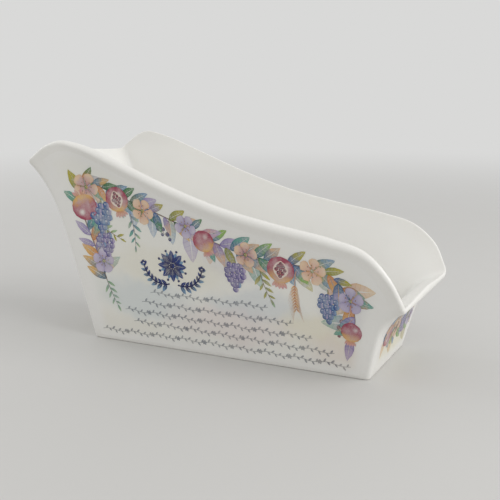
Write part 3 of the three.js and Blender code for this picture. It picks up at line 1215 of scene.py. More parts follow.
@dataclass
class Canvas:
    """A sheet on which stamps and strokes are set.

    A place on the sheet is a complex number: millimetres across, and millimetres up as its imaginary part.
    """

    outline: np.ndarray
    seed: int
    stamps: list[tuple[complex, tuple[float, ...], tuple[float, ...]]] = field(default_factory=list)
    strokes: list[tuple[np.ndarray, np.ndarray, tuple[float, ...]]] = field(default_factory=list)
    margin: float = 1.5
    lowest: float = 0.02  # height of the first layer over the foil, in millimetres
    layer_step: float = 0.048  # height of each further layer of paint
    stamp_step: float = 0.008  # height between neighbours in a layer
    turns: int = 6

    def __post_init__(self) -> None:
        """Starts the canvas's own random draws."""
        self.rng = np.random.default_rng(self.seed)

    def holds(self, places: np.ndarray) -> bool:
        """Tells whether all the places lie on the sheet, a margin away from its edge.

        Args:
            places: Places on the sheet.

        Returns:
            Whether they do.
        """
        a, b = self.outline, np.roll(self.outline, -1)
        for p in places:
            crosses = (a.imag > p.imag) != (b.imag > p.imag)
            with np.errstate(divide="ignore", invalid="ignore"):
                x = a.real + (p.imag - a.imag) * (b.real - a.real) / (b.imag - a.imag)
            if np.count_nonzero(crosses & (x > p.real)) % 2 == 0 or np.abs(a - p).min() < self.margin:
                return False
        return True

    def settle(self, place: complex, radius: float) -> complex:
        """Moves a place away from the sheet's edge until a circle round it lies on the sheet.

        Args:
            place: The place.
            radius: The circle's radius in millimetres.

        Returns:
            The new place.
        """
        circle = radius * np.exp(1j * np.linspace(0, math.tau, 13))
        for _ in range(40):
            if self.holds(place + circle):
                break
            away = place - self.outline[np.abs(self.outline - place).argmin()]
            place += cmath.rect(0.8, cmath.phase(away))
        return place

    def facts(self, layer: int, wobble: float, dose: float, paint: Paint) -> tuple[float, ...]:
        """Gathers what a stamp and a stroke both have.

        Args:
            layer: Which layer of paint it belongs to, counted from the foil.
            wobble: How much its outline wavers, in millimetres.
            dose: How much pigment the brush holds, where 1 is a full brush.
            paint: The paint, or those that the brush holds where it is set down and where it lifts.

        Returns:
            Its height over the foil, its wobble, its dose and its two tints.
        """
        base, tip = paint if isinstance(paint, tuple) else (paint, paint)
        count = len(self.stamps) + len(self.strokes)
        lift = self.lowest + layer * self.layer_step + count % self.turns * self.stamp_step
        return (lift, wobble, dose, *linear(base.value[0])[:3], *linear(tip.value[1])[:3])

    def stamp(
        self,
        motif: Motif,
        place: complex,
        turn: float,
        length: float,
        width: float,
        paint: Paint,
        layer: int = 1,
        dose: float = 1.0,
    ) -> None:
        """Sets a stamp, if all of it lies on the sheet.

        Args:
            motif: Its shape.
            place: Where its base lies, or the middle of a disc.
            turn: Direction in which it points, in radians.
            length: Its length in millimetres.
            width: Its width in millimetres.
            paint: Its paint or paints.
            layer: Its layer.
            dose: Its dose of pigment.
        """
        ahead = cmath.rect(1, turn)
        ends = (-0.5, 0.5) if motif is Motif.DISC else (0, 1)
        middle = place + ahead * length * sum(ends) / 2
        reach = [place + ahead * length * end for end in ends]
        reach += [middle + ahead * 1j * width * side for side in (-0.5, 0.5)]
        if self.holds(np.array(reach)):
            facts = self.facts(layer, min(0.35, 0.07 * width), dose, paint)
            self.stamps.append((complex(place), (motif.value, turn, length, width), facts))

    def stroke(
        self,
        line: np.ndarray,
        width: float,
        paint: Paint,
        layer: int = 1,
        dose: float = 1.0,
        taper: float = 0.35,
    ) -> bool:
        """Draws a stroke along a line, if all of it lies on the sheet.

        Args:
            line: Places along it.
            width: Its width at its start, in millimetres.
            paint: Its paint.
            layer: Its layer.
            dose: Its dose of pigment.
            taper: Share of the width that is left at the end.

        Returns:
            Whether it was drawn.
        """
        drawn = self.holds(line)
        if drawn:
            facts = self.facts(layer, 0.1 * width, dose, paint)
            self.strokes.append((line, width * np.linspace(1, taper, len(line)), facts))
        return drawn

    def trace(self, line: np.ndarray, stretch: int, width: float, paint: Paint, **manner: float) -> None:
        """Draws a long line as strokes end to end, so that only those that leave the sheet are left out.

        Args:
            line: Places along it.
            stretch: How many steps of the line each stroke has.
            width: A stroke's width at its start, in millimetres.
            paint: Its paint.
            **manner: Its layer, dose and taper.
        """
        for first in range(0, len(line) - 1, stretch):
            self.stroke(line[first : first + stretch + 1], width, paint, **manner)

    def objects(self) -> tuple[Object, Object]:
        """Turns the stamps into loose points and the strokes into loose lines.

        Returns:
            The points and the lines, with named values.
        """

        def named(facts: np.ndarray) -> dict[str, np.ndarray]:
            """Names what stamps and strokes both have.

            Args:
                facts: Their facts, row by row.

            Returns:
                The named values.
            """
            lift, wobble, dose = facts[:, :3].T
            tints = {"tint_base": facts[:, 3:6], "tint_tip": facts[:, 6:9]}
            return {"lift": lift * MM, "wobble": wobble * MM, "dose": dose, **tints}

        places, shapes, facts = (np.array(column) for column in zip(*self.stamps))
        motif, turn, length, width = shapes.T
        turns = np.stack([0 * turn, 0 * turn, turn], axis=1)
        sizes = np.stack([length, width, np.ones(len(width))], axis=1)
        values = {"motif": motif, "turn": turns, "size": sizes, **named(facts)}
        points = mesh_object("stamps", flat(places), [], values)
        lines, widths, facts = zip(*self.strokes)
        links, first = [], 0
        for line in lines:
            links += [[k, k + 1] for k in range(first, first + len(line) - 1)]
            first += len(line)
        each = np.concatenate([np.tile(fact, (len(line), 1)) for line, fact in zip(lines, facts)])
        values = {"width": np.concatenate(widths) * MM, **named(each)}
        return points, mesh_object("strokes", flat(np.concatenate(lines)), links, values)


@dataclass
class Trail:
    """A line on a sheet, measured along its length in millimetres."""

    places: np.ndarray

    def __post_init__(self) -> None:
        """Measures the line."""
        self.run = np.concatenate([[0], np.cumsum(np.abs(np.diff(self.places)))])
        self.length = self.run[-1]

    def at(self, distances: float | np.ndarray) -> complex | np.ndarray:
        """Places at distances from its start."""
        across = np.interp(distances, self.run, self.places.real)
        return across + 1j * np.interp(distances, self.run, self.places.imag)

    def ahead(self, distance: float) -> float:
        """Measures its direction.

        Args:
            distance: How far from its start, in millimetres.

        Returns:
            The direction in radians.
        """
        if distance + 1 < self.length:
            return cmath.phase(self.at(distance + 1) - self.at(distance))
        return cmath.phase(self.places[-1] - self.places[-2])


def flat(places: np.ndarray) -> Points:
    """Places on a sheet as points with no height."""
    return np.stack([places.real, places.imag, 0 * places.real], axis=1)


def through(stations: Sequence[complex]) -> np.ndarray:
    """Draws a smooth line through places on a sheet."""
    line = smooth_curve(flat(np.asarray(stations)), 12)
    return line[:, 0] + 1j * line[:, 1]


def along(line: np.ndarray, start: int, stop: int, step: int = 1) -> Iterator[tuple[int, complex, float]]:
    """Goes along a line.

    Args:
        line: Places along it.
        start: Number of the first place to give.
        stop: Number after that of the last one.
        step: How many places it goes on by.

    Yields:
        Each place's number, the place, and the direction in which the line reaches it.
    """
    for k in range(start, stop, step):
        yield k, complex(line[k]), cmath.phase(line[k] - line[k - 1])


def bowed(start: complex, turn: float, length: float, bow: float, count: int = 9) -> np.ndarray:
    """Draws a bowed line.

    Args:
        start: Where it starts.
        turn: Its direction at the start, in radians.
        length: Its length in millimetres.
        bow: How much its direction changes on the way, in radians.
        count: How many points it gets.

    Returns:
        Places along it.
    """
    steps = np.exp(1j * (turn + bow * np.linspace(0, 1, count - 1))) * length / (count - 1)
    return start + np.concatenate([[0], np.cumsum(steps)])


@dataclass
class Painter:
    """Paints plants on a canvas from stamps and strokes."""

    canvas: Canvas

    def jitter(self, value: float, share: float = 0.18) -> float:
        """The value, changed at random by up to a share of it."""
        return float(value * (1 + self.canvas.rng.uniform(-share, share)))

    def blossom(self, place: complex, radius: float, paint: Pigment) -> None:
        """Paints an almond blossom.

        Args:
            place: Its middle.
            radius: Its radius in millimetres.
            paint: Its petals' paint.
        """
        place = self.canvas.settle(place, 1.1 * radius)
        first = self.canvas.rng.uniform(0, math.tau)
        for k in range(5):
            turn = first + math.tau * k / 5 + self.canvas.rng.uniform(-0.08, 0.08)
            base = place + cmath.rect(0.1 * radius, turn)
            tip = Pigment.PEACH if paint is Pigment.ROSE else paint
            size = self.jitter(radius, 0.08)
            self.canvas.stamp(Motif.PETAL, base, turn, size, 0.9 * size, (paint, tip), layer=3, dose=0.85)
        for k in range(8):
            turn = first + math.tau * (k + 0.5) / 8
            line = bowed(place, turn, 0.48 * radius, 0.1, 3)
            self.canvas.stroke(line, 0.28, Pigment.WINE, layer=4, dose=0.9)
            self.canvas.stamp(Motif.DISC, line[-1], 0, 0.9, 0.9, (Pigment.BARK, Pigment.OCHRE), layer=4)
        size = 0.3 * radius
        self.canvas.stamp(Motif.DISC, place, 0, size, size, (Pigment.OLIVE, Pigment.OCHRE), layer=5)

    def pomegranate(self, place: complex, radius: float, turn: float, slit: bool) -> None:
        """Paints a pomegranate.

        Args:
            place: Its middle.
            radius: Its radius in millimetres.
            turn: Direction of its crown.
            slit: Whether it is slit open.
        """
        stamp, place = self.canvas.stamp, self.canvas.settle(place, 1.35 * radius)
        length, width = 0.55 * radius, 0.24 * radius
        for spread in (-0.5, -0.25, 0, 0.25, 0.5):
            base = place + cmath.rect(0.86 * radius, turn + spread * 0.5)
            sepal = (Pigment.OCHRE, Pigment.ROSE)
            stamp(Motif.BLADE, base, turn + spread * 1.3, length, width, sepal, layer=3, dose=0.95)
        body = (Pigment.ROSE, Pigment.OCHRE)
        stamp(Motif.DISC, place, turn, 1.92 * radius, 2.05 * radius, body, layer=3, dose=0.92)
        if slit:
            start = place - cmath.rect(0.68 * radius, turn)
            stamp(Motif.BLADE, start, turn, 1.36 * radius, 1.15 * radius, Pigment.PEACH, layer=4, dose=0.35)
            for row, count in enumerate((1, 2, 3, 2, 1)):
                for k in range(count):
                    off = complex((0.22 + 0.23 * row) * radius, (k - (count - 1) / 2) * 0.32 * radius)
                    spot = start + off * cmath.rect(1, turn)
                    size = self.jitter(0.27 * radius, 0.08)
                    stamp(Motif.DISC, spot, turn, size, size, Pigment.WINE, layer=5)

    def grapes(self, place: complex, size: float, paint: Pigment) -> None:
        """Paints a bunch of grapes that hangs from a place.

        Args:
            place: Where it hangs from.
            size: A grape's diameter in millimetres.
            paint: Its paint.
        """
        rng = self.canvas.rng
        place = self.canvas.settle(place - 3j * size, 3.2 * size) + 3j * size
        self.canvas.stroke(bowed(place, -math.pi / 2 + 0.2, 1.4 * size, -0.3, 4), 0.6, Pigment.OLIVE, layer=3)
        for row, count in enumerate((3, 4, 4, 3, 2, 1)):
            for k in range(count):
                spot = place + size * complex((k - (count - 1) / 2) * 0.86, -1.2 - row * 0.78)
                spot += complex(*rng.uniform(-0.1, 0.1, 2)) * size
                grape = (paint, Pigment.LILAC if rng.random() < 0.6 else Pigment.BLUE)
                wide = self.jitter(size, 0.1)
                self.canvas.stamp(Motif.DISC, spot, 0, wide, wide, grape, layer=3 + k % 2, dose=0.95)

    def wheat(self, place: complex, turn: float, length: float) -> None:
        """Paints an ear of wheat.

        Args:
            place: Foot of its stalk.
            turn: Direction in which it grows.
            length: Its length in millimetres.
        """
        line = bowed(place, turn, length, self.canvas.rng.choice((-0.35, 0.35)), 14)
        if not self.canvas.stroke(line, 0.55, Pigment.OCHRE, layer=2):
            return
        for k, spot, ahead in along(line, 5, 14):
            for side in (-1, 1):
                lean = ahead + side * 0.62
                size = self.jitter(0.15 * length, 0.1)
                grain = (Pigment.OCHRE, Pigment.PEACH if (k + side) % 4 else Pigment.OCHRE)
                self.canvas.stamp(Motif.BLADE, spot, lean, size, 0.27 * size, grain, layer=3)
                awn = bowed(spot + cmath.rect(0.8 * size, lean), ahead + side * 0.3, 0.28 * length, 0, 3)
                self.canvas.stroke(awn, 0.24, Pigment.OCHRE, layer=2, dose=0.7)

    def sprig(self, place: complex, turn: float, length: float, paint: Pigment) -> None:
        """Paints an olive sprig: narrow leaves in pairs on a bowed twig.

        Args:
            place: Foot of its twig.
            turn: Direction in which it grows.
            length: Its length in millimetres.
            paint: Its leaves' paint.
        """
        line = bowed(place, turn, length, self.canvas.rng.uniform(-0.5, 0.5), 10)
        if not self.canvas.stroke(line, 0.6, Pigment.BARK):
            return
        for k, spot, ahead in along(line, 2, 10):
            side = 0 if k == 9 else (-1) ** k
            size = self.jitter(0.3 * length * (1.15 - 0.05 * k))
            pair = (paint, Pigment.SAGE if self.canvas.rng.random() < 0.4 else paint)
            self.canvas.stamp(Motif.BLADE, spot, ahead + side * 0.75, size, 0.27 * size, pair, layer=2)

    def berries(self, place: complex, turn: float, length: float, paint: Pigment) -> None:
        """Paints a twig of berries.

        Args:
            place: Foot of the twig.
            turn: Direction in which it grows.
            length: Its length in millimetres.
            paint: The berries' paint.
        """
        line = bowed(place, turn, length, self.canvas.rng.uniform(-0.6, 0.6), 8)
        if not self.canvas.stroke(line, 0.5, Pigment.BARK):
            return
        for k, spot, ahead in along(line, 3, 8):
            spot += cmath.rect(1.8, ahead + (0 if k == 7 else (-1) ** k * 1.2))
            size = self.jitter(2.7)
            self.canvas.stamp(Motif.DISC, spot, 0, size, size, paint, layer=2)

    def garland(
        self, line: np.ndarray, palette: Sequence[Pigment], spacing: float = 4.1, leaf: float = 16.0
    ) -> None:
        """Paints a stem with leaves on both sides: pale broad ones behind, and crisp ones in front.

        Args:
            line: Places along the stem.
            palette: Paints in the order in which they come and go along it.
            spacing: Distance from leaf to leaf, in millimetres.
            leaf: A leaf's length in millimetres.
        """
        rng, stamp, stem = self.canvas.rng, self.canvas.stamp, Trail(line)

        def choose(distance: float) -> tuple[Pigment, Pigment]:
            """Picks two paints that suit a place on the stem.

            Args:
                distance: How far along the stem it is, in millimetres.

            Returns:
                The two paints.
            """
            last = len(palette) - 1
            spot = distance / stem.length * last + rng.normal(0, 0.9)
            k = int(np.clip(round(spot), 0, last))
            other = int(np.clip(k + rng.choice((-1, 0, 1)), 0, last))
            return palette[k], palette[other]

        self.canvas.trace(line, 12, 1.0, Pigment.BARK, taper=0.8)
        for apart, scale, leans, widths, layer, dose in (
            (1.9, 1.35, (0.75, 1.35), (0.42, 0.52), 0, 0.6),
            (1.0, 1.0, (0.45, 1.0), (0.34, 0.46), 2, 1.0),
        ):
            for k, distance in enumerate(np.arange(0, stem.length, spacing * apart)):
                turn = stem.ahead(distance) + (-1) ** k * rng.uniform(*leans)
                size = self.jitter(leaf * scale)
                width = size * rng.uniform(*widths)
                stamp(Motif.LEAF, stem.at(distance), turn, size, width, choose(distance), layer, dose)
        end = stem.length
        stamp(Motif.LEAF, stem.at(end), stem.ahead(end), leaf, leaf * 0.4, choose(end), layer=2)

    def vine_row(self, line: np.ndarray, step: float = 2.5, wave: int = 8) -> None:
        """Paints a fine waving vine with leaves on either side in turn and a star flower at each wave.

        Args:
            line: Places along the row.
            step: From one leaf to the next, in millimetres.
            wave: How many steps a wave has.
        """
        row, stamp = Trail(line), self.canvas.stamp
        vine = row.at(np.linspace(0, row.length, wave * int(row.length / step / wave) + 1))
        vine += 0.7j * np.sin(np.arange(len(vine)) * math.tau / wave)
        self.canvas.trace(vine, wave, 0.4, Pigment.SLATE, dose=0.6, taper=1.0)
        for k in range(1, len(vine) - 1):
            place, ahead = complex(vine[k]), cmath.phase(vine[k + 1] - vine[k - 1])
            if k % wave:
                turn = ahead + (0.85 if k % 2 else -0.85) + self.canvas.rng.uniform(-0.12, 0.12)
                leaf = self.jitter(2.9, 0.12)
                stamp(Motif.TICK, place, turn, leaf, 0.42 * leaf, Pigment.SLATE, layer=2, dose=0.72)
            else:
                for petal in range(5):
                    turn = ahead + math.tau * petal / 5
                    stamp(Motif.TICK, place, turn, 1.9, 1.2, Pigment.SLATE, layer=2, dose=0.72)

    def rosette(self, place: complex, radius: float) -> None:
        """Paints a deep blue rosette over a wreath of two branches with berries.

        Args:
            place: Its middle.
            radius: Radius of the rosette in millimetres.
        """
        stamp, navy, sea = self.canvas.stamp, Pigment.NAVY, (Pigment.NAVY, Pigment.BLUE)
        for k in range(8):
            turn = math.tau * k / 8
            base = place + cmath.rect(0.18 * radius, turn)
            stamp(Motif.LEAF, base, turn, 0.84 * radius, 0.42 * radius, navy, layer=3, dose=1.1)
            turn += math.tau / 16
            base = place + cmath.rect(0.28 * radius, turn)
            stamp(Motif.BLADE, base, turn, 0.64 * radius, 0.24 * radius, sea, layer=2, dose=1.4)
            size = 0.16 * radius
            stamp(Motif.DISC, place + cmath.rect(radius, turn), 0, size, size, navy, layer=2, dose=1.4)
        stamp(Motif.DISC, place, 0, 0.36 * radius, 0.36 * radius, navy, layer=4, dose=1.4)
        for side in (-1, 1):
            turn = -0.25 if side > 0 else math.pi + 0.25
            start = place + (0.3 * side - 1.2j) * radius
            line = bowed(start, turn, 2.4 * radius, 1.65 * side, 22)
            self.canvas.trace(line, 7, 1.0, navy, layer=2, taper=0.85, dose=1.4)
            for k, spot, ahead in along(line, 2, 21, 3):
                size = radius * (0.6 - 0.012 * k)
                for lean, share, paint in ((0.85, 0.8, navy), (-0.85, 1.0, sea)):
                    leaf, turn = share * size, ahead + side * lean
                    stamp(Motif.LEAF, spot, turn, leaf, 0.46 * leaf, paint, layer=3, dose=1.25)
            ahead, size = cmath.phase(line[-1] - line[-2]), 0.17 * radius
            for lean in (-1.0, 0.0, 1.0):
                berry = line[-1] + cmath.rect(size, ahead + lean)
                stamp(Motif.DISC, berry, 0, size, size, navy, layer=4, dose=1.4)


def print_tree() -> NodeTree:
    """Makes the tree that sets the stamps and strokes of a canvas on a wall's foil as thin films of paint.

    Returns:
        The tree. It works on the sheet first, and then casts each point against the foil.
    """
    tree = new_tree(
        "Print on foil",
        {
            "Strokes": "Object",
            "Motifs": "Collection",
            "Foil": "Object",
            "Across": "Vector",
            "Outward": "Vector",
            "Wobble Width": "Float",
            "Film": "Float",
        },
    )
    node = partial(add_node, tree)
    given = node("NodeGroupInput").outputs
    turn, size = (
        node("GeometryNodeInputNamedAttribute", {"Name": name}, data_type="FLOAT_VECTOR")
        for name in ("turn", "size")
    )
    motif, width, wobble, lift = (
        node("GeometryNodeInputNamedAttribute", {"Name": name}, data_type="FLOAT")
        for name in ("motif", "width", "wobble", "lift")
    )
    motifs = node(
        "GeometryNodeCollectionInfo",
        {"Collection": given["Motifs"], "Separate Children": True, "Reset Children": True},
    )
    stamps = node(
        "GeometryNodeInstanceOnPoints",
        {
            "Points": given["Geometry"],
            "Instance": motifs,
            "Pick Instance": True,
            "Instance Index": motif,
            "Rotation": node("FunctionNodeEulerToRotation", {"Euler": turn}),
            "Scale": size,
        },
    )
    stamps = node("GeometryNodeRealizeInstances", {"Geometry": stamps})
    strokes = node("GeometryNodeObjectInfo", {"Object": given["Strokes"]}).outputs["Geometry"]
    strokes = node("GeometryNodeMeshToCurve", {"Mesh": strokes})
    strokes = node("GeometryNodeSetCurveNormal", {"Curve": strokes}, mode="Z_UP")
    nib = node("GeometryNodeCurvePrimitiveLine", {"Start": (-0.5, 0.0, 0.0), "End": (0.5, 0.0, 0.0)})
    nib = node("GeometryNodeResampleCurve", {"Curve": nib, "Count": 3})
    along = node("GeometryNodeSplineParameter").outputs["Factor"]
    side = node("ShaderNodeMath", {0: along, 1: 2.0, 2: -1.0}, operation="MULTIPLY_ADD")
    side = node("ShaderNodeMath", {0: side}, operation="ABSOLUTE")
    nib = node("GeometryNodeStoreNamedAttribute", {"Geometry": nib, "Name": "edge", "Value": side})
    ribbons = node("GeometryNodeCurveToMesh", {"Curve": strokes, "Profile Curve": nib, "Scale": width})
    sheet = node("GeometryNodeJoinGeometry")
    for part in (stamps, ribbons):
        tree.links.new(part.outputs[0], sheet.inputs[0])
    facing = node("ShaderNodeSeparateXYZ", {"Vector": node("GeometryNodeInputNormal")}).outputs["Z"]
    facing = {"A": facing, "B": 0.0}
    facing = node("FunctionNodeCompare", facing, data_type="FLOAT", operation="LESS_THAN")
    sheet = node("GeometryNodeFlipFaces", {"Mesh": sheet, "Selection": facing})

    place = node("GeometryNodeInputPosition")
    fineness = node("ShaderNodeMath", {0: 1.0, 1: given["Wobble Width"]}, operation="DIVIDE")
    noise = node("ShaderNodeTexNoise", {"Vector": place, "Scale": fineness, "Detail": 2.0}).outputs["Color"]
    noise = node("ShaderNodeVectorMath", {0: noise, 1: (0.5, 0.5, 0.5)}, operation="SUBTRACT")
    noise = node("ShaderNodeVectorMath", {0: noise, 1: (4.0, 4.0, 0.0)}, operation="MULTIPLY")
    shake = node("ShaderNodeVectorMath", {0: noise, "Scale": wobble}, operation="SCALE")
    sheet = node("GeometryNodeSetPosition", {"Geometry": sheet, "Offset": shake})

    flat = node("ShaderNodeSeparateXYZ", {"Vector": place})
    across = node("ShaderNodeVectorMath", {0: given["Across"], "Scale": flat.outputs["X"]}, operation="SCALE")
    upright = node("ShaderNodeCombineXYZ", {"Z": flat.outputs["Y"]})
    source = node("ShaderNodeVectorMath", {0: across, 1: upright}, operation="ADD")
    source = node("ShaderNodeVectorMath", {0: source, 1: given["Outward"]}, operation="ADD")
    inward = node("ShaderNodeVectorMath", {0: given["Outward"], "Scale": -1.0}, operation="SCALE")
    foil = node("GeometryNodeObjectInfo", {"Object": given["Foil"]}).outputs["Geometry"]
    cast = node(
        "GeometryNodeRaycast",
        {"Target Geometry": foil, "Source Position": source, "Ray Direction": inward, "Ray Length": 2.0},
    ).outputs
    missed = node("FunctionNodeBooleanMath", {0: cast["Is Hit"]}, operation="NOT")
    sheet = node("GeometryNodeDeleteGeometry", {"Geometry": sheet, "Selection": missed}, domain="POINT")
    sheet = node(
        "GeometryNodeStoreNamedAttribute",
        {"Geometry": sheet, "Name": "outward", "Value": cast["Hit Normal"]},
        data_type="FLOAT_VECTOR",
    )
    outward = node("GeometryNodeInputNamedAttribute", {"Name": "outward"}, data_type="FLOAT_VECTOR")
    lifted = node("ShaderNodeVectorMath", {0: cast["Hit Normal"], "Scale": lift}, operation="SCALE")
    lifted = node("ShaderNodeVectorMath", {0: cast["Hit Position"], 1: lifted}, operation="ADD")
    sheet = node("GeometryNodeSetPosition", {"Geometry": sheet, "Position": lifted})

    rise = node("ShaderNodeVectorMath", {0: outward, "Scale": given["Film"]}, operation="SCALE")
    top = node(
        "GeometryNodeExtrudeMesh",
        {"Mesh": sheet, "Offset": rise, "Offset Scale": 1.0, "Individual": False},
        mode="FACES",
    )
    under = node("GeometryNodeFlipFaces", {"Mesh": sheet})
    film = node("GeometryNodeJoinGeometry")
    for part in (top, under):
        tree.links.new(part.outputs[0], film.inputs[0])
    weld = node("ShaderNodeMath", {0: given["Film"], 1: 0.1}, operation="MULTIPLY")
    film = node("GeometryNodeMergeByDistance", {"Geometry": film, "Distance": weld})
    return end_tree(tree, film, ("outward", "lift", "wobble", "turn", "size", "motif", "width"))


@dataclass
class PrintedWall:
    """The print of one wall: its foil, its painted plants and how they are laid out."""

    wall: Wall
    moulding: Moulding
    seed: int
    film: float = 0.012  # thickness of a film of paint, in millimetres
    wobble_width: float = 2.2  # how quickly a painted outline wavers, in millimetres
    sharp_angle: float = math.radians(40)
    garland_drop: float = 19.0  # from a long wall's lip to its garland's stem, in millimetres
    row_rise: float = 8.4  # from the foot to the first row of vine, and from row to row

    def lip_height(self, across: np.ndarray) -> np.ndarray:
        """Height of a long wall's lip over the table, at places across the sheet."""
        lip = self.moulding.lip_curve()
        return np.interp(across * self.wall.across[0], lip[:, 0] + self.moulding.shift, lip[:, 2])

    def lay_out_long(self, painter: Painter) -> None:
        """Paints a long wall: a garland under its lip, a rosette, and rows of fine vine along the foot.

        The garland rises along the high end, follows the lip and comes down at the low end.

        Args:
            painter: The painter, with the wall's canvas.
        """
        way = self.wall.across[0]
        x = np.linspace(-84, 86, 10)
        under_lip = x + 1j * (self.lip_height(way * x) - self.garland_drop - 1.5 * np.sin(x / 17))
        high_end, low_end = (-85 + 48j, -92 + 72j, -99 + 96j, -98 + 118j), (101 + 57j, 105 + 43j, 102 + 28j)
        line = through([*high_end, *under_lip, *low_end])
        line = way * line.real + 1j * line.imag
        paints = "TEAL OCHRE LILAC OLIVE TEAL OCHRE FOREST BLUE OLIVE "
        paints += "LILAC PEACH TEAL LEAF BLUE OLIVE OCHRE TEAL LILAC"
        painter.garland(line, Pigment.row(paints))
        garland = Trail(line)

        def beside(share: float, off: float = 0.0) -> complex:
            """A place at a share of the garland's length, some millimetres inwards of it."""
            distance = share * garland.length
            return garland.at(distance) - way * 1j * off * cmath.rect(1, garland.ahead(distance))

        def slant(angle: float) -> float:
            """A direction given for the front wall, mirrored on the back one."""
            return angle if way > 0 else math.pi - angle

        painter.sprig(beside(0.01), slant(-1.3), 24, Pigment.SAGE)
        painter.blossom(beside(0.04, 3), 8, Pigment.LILAC)
        painter.grapes(beside(0.11, 13), 4.4, Pigment.PLUM)
        painter.sprig(beside(0.14, 4), slant(-0.5), 27, Pigment.OLIVE)
        painter.pomegranate(beside(0.17, 0), 10, slant(1.9), slit=False)
        painter.blossom(beside(0.245, 4), 9, Pigment.ROSE)
        painter.grapes(beside(0.285, 8), 5, Pigment.BLUE)
        painter.pomegranate(beside(0.33, 3), 9.5, slant(-1.3), slit=True)
        painter.sprig(beside(0.36, 5), slant(-1.25), 28, Pigment.TEAL)
        painter.blossom(beside(0.4, 3), 8.5, Pigment.PEACH)
        painter.berries(beside(0.43, 4), slant(-1.1), 17, Pigment.NAVY)
        painter.blossom(beside(0.51, -1), 7.5, Pigment.LILAC)
        painter.pomegranate(beside(0.56, 3), 8, slant(-1.2), slit=False)
        painter.grapes(beside(0.635, 5), 4.4, Pigment.PLUM)
        painter.blossom(beside(0.66, 0), 8, Pigment.ROSE)
        painter.sprig(beside(0.69, 3), slant(-1.5), 26, Pigment.OLIVE)
        painter.pomegranate(beside(0.74, 5), 9.5, slant(-1.7), slit=True)
        painter.wheat(beside(0.775, 4), slant(-1.8), 26)
        painter.blossom(beside(0.81, 2), 8.5, Pigment.PEACH)
        painter.grapes(beside(0.865, 9), 4.2, Pigment.BLUE)
        painter.blossom(beside(0.915, 0), 8, Pigment.LILAC)
        painter.berries(beside(0.95, 3), slant(-2.4), 15, Pigment.WINE)
        painter.pomegranate(beside(0.985, 0), 7, slant(-1.7), slit=False)
        painter.rosette(way * -28 + 63j, 11.3)
        rows = ((-92, 101), (-64, 90), (-71, 75), (-56, 62), (-48, 44))
        for row, (start, end) in enumerate(rows):
            x = np.linspace(start, end, 60)
            painter.vine_row(way * x + 1j * (self.row_rise * (row + 1) + 0.8 * np.cos(x / 50 + row)))

    def lay_out_low_end(self, painter: Painter) -> None:
        """Paints the low end: a garland under its lip.

        Args:
            painter: The painter, with the wall's canvas.
        """
        x = np.linspace(-38, 38, 40)
        paints = Pigment.row("BLUE OCHRE LEAF PLUM OLIVE FOREST OCHRE")
        painter.garland(x + 1j * (28 - 3.0 * np.cos(x / 14)), paints, leaf=15.0)
        painter.pomegranate(-24 + 27j, 7.5, 2.3, slit=False)
        painter.blossom(-6 + 28j, 7.5, Pigment.PEACH)
        painter.grapes(10 + 36j, 3.4, Pigment.PLUM)
        painter.blossom(27 + 27j, 7, Pigment.LILAC)

    def lay_out_high_end(self, painter: Painter) -> None:
        """Paints the high end: a garland that winds up it, with fruit, wheat and rows of vine at its foot.

        Args:
            painter: The painter, with the wall's canvas.
        """
        z = np.linspace(24, 108, 50)
        paints = Pigment.row("OLIVE TEAL SAGE OCHRE BLUE LILAC FOREST PEACH TEAL")
        painter.garland(17 * np.sin((z - 20) / 17) + 1j * z, paints)
        painter.pomegranate(19 + 46j, 10, 1.2, slit=True)
        painter.grapes(-14 + 92j, 4.8, Pigment.PLUM)
        painter.sprig(18 + 95j, -1.2, 32, Pigment.OLIVE)
        painter.blossom(16 + 97j, 8.5, Pigment.ROSE)
        painter.blossom(-4 + 62j, 8, Pigment.LILAC)
        painter.wheat(4 + 30j, 2.25, 27)
        painter.sprig(-30 + 18j, 1.3, 26, Pigment.SAGE)
        y = np.linspace(-31, 31, 60)
        for row in range(2):
            painter.vine_row(y + 1j * self.row_rise * (row + 1))

    def build(
        self, rule: NodeTree, printing: NodeTree, motifs: Collection, finish: OverlaidPrint
    ) -> list[Object]:
        """Builds the wall's foil and the paint on it.

        Args:
            rule: The wall rule.
            printing: The tree that sets paint on a foil.
            motifs: The motifs' shapes.
            finish: The print's finish.

        Returns:
            The foil and the paint.
        """
        washes = finish.washes(self.wall)
        foil, outline = self.moulding.foil(self.wall, rule, finish.ground(washes, self.wall))
        canvas = Canvas(outline, self.seed)
        layouts = {Wall.LOW_END: self.lay_out_low_end, Wall.HIGH_END: self.lay_out_high_end}
        layouts.get(self.wall, self.lay_out_long)(Painter(canvas))
        paint, strokes = canvas.objects()
        paint.name = foil.name.replace("printed_foil", "painted_plants")
        apply_tree(
            paint,
            printing,
            {
                "Strokes": strokes,
                "Motifs": motifs,
                "Foil": foil,
                "Across": tuple(self.wall.across),
                "Outward": tuple(self.wall.outward),
                "Wobble Width": self.wobble_width * MM,
                "Film": self.film * MM,
                "Sharp Angle": self.sharp_angle,
                "Material": finish.paint(washes, self.wall),
            },
        )
        discard(strokes)
        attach(foil, "root")
        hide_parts(self.wall.node)
        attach(paint, "root")
        return [foil, paint]


# The studio


@dataclass(frozen=True)
class Softbox:
    """A large soft lamp: where it stands and aims, in metres, how wide it is, and its power in watts."""

    name: str
    place: tuple[float, float, float]
    aim: tuple[float, float, float]
    width: float
    depth: float
    power: float

    def build(self) -> None:
        """Sets up the lamp."""
        lamp = bpy.data.lights.new(self.name, "AREA")
        lamp.shape = "RECTANGLE"
        lamp.size, lamp.size_y, lamp.energy = self.width, self.depth, self.power
        holder = bpy.data.objects.new(self.name, lamp)
        holder.location = self.place
        holder.rotation_euler = (Vector(self.aim) - Vector(self.place)).to_track_quat("-Z", "Y").to_euler()
        bpy.context.scene.collection.objects.link(holder)


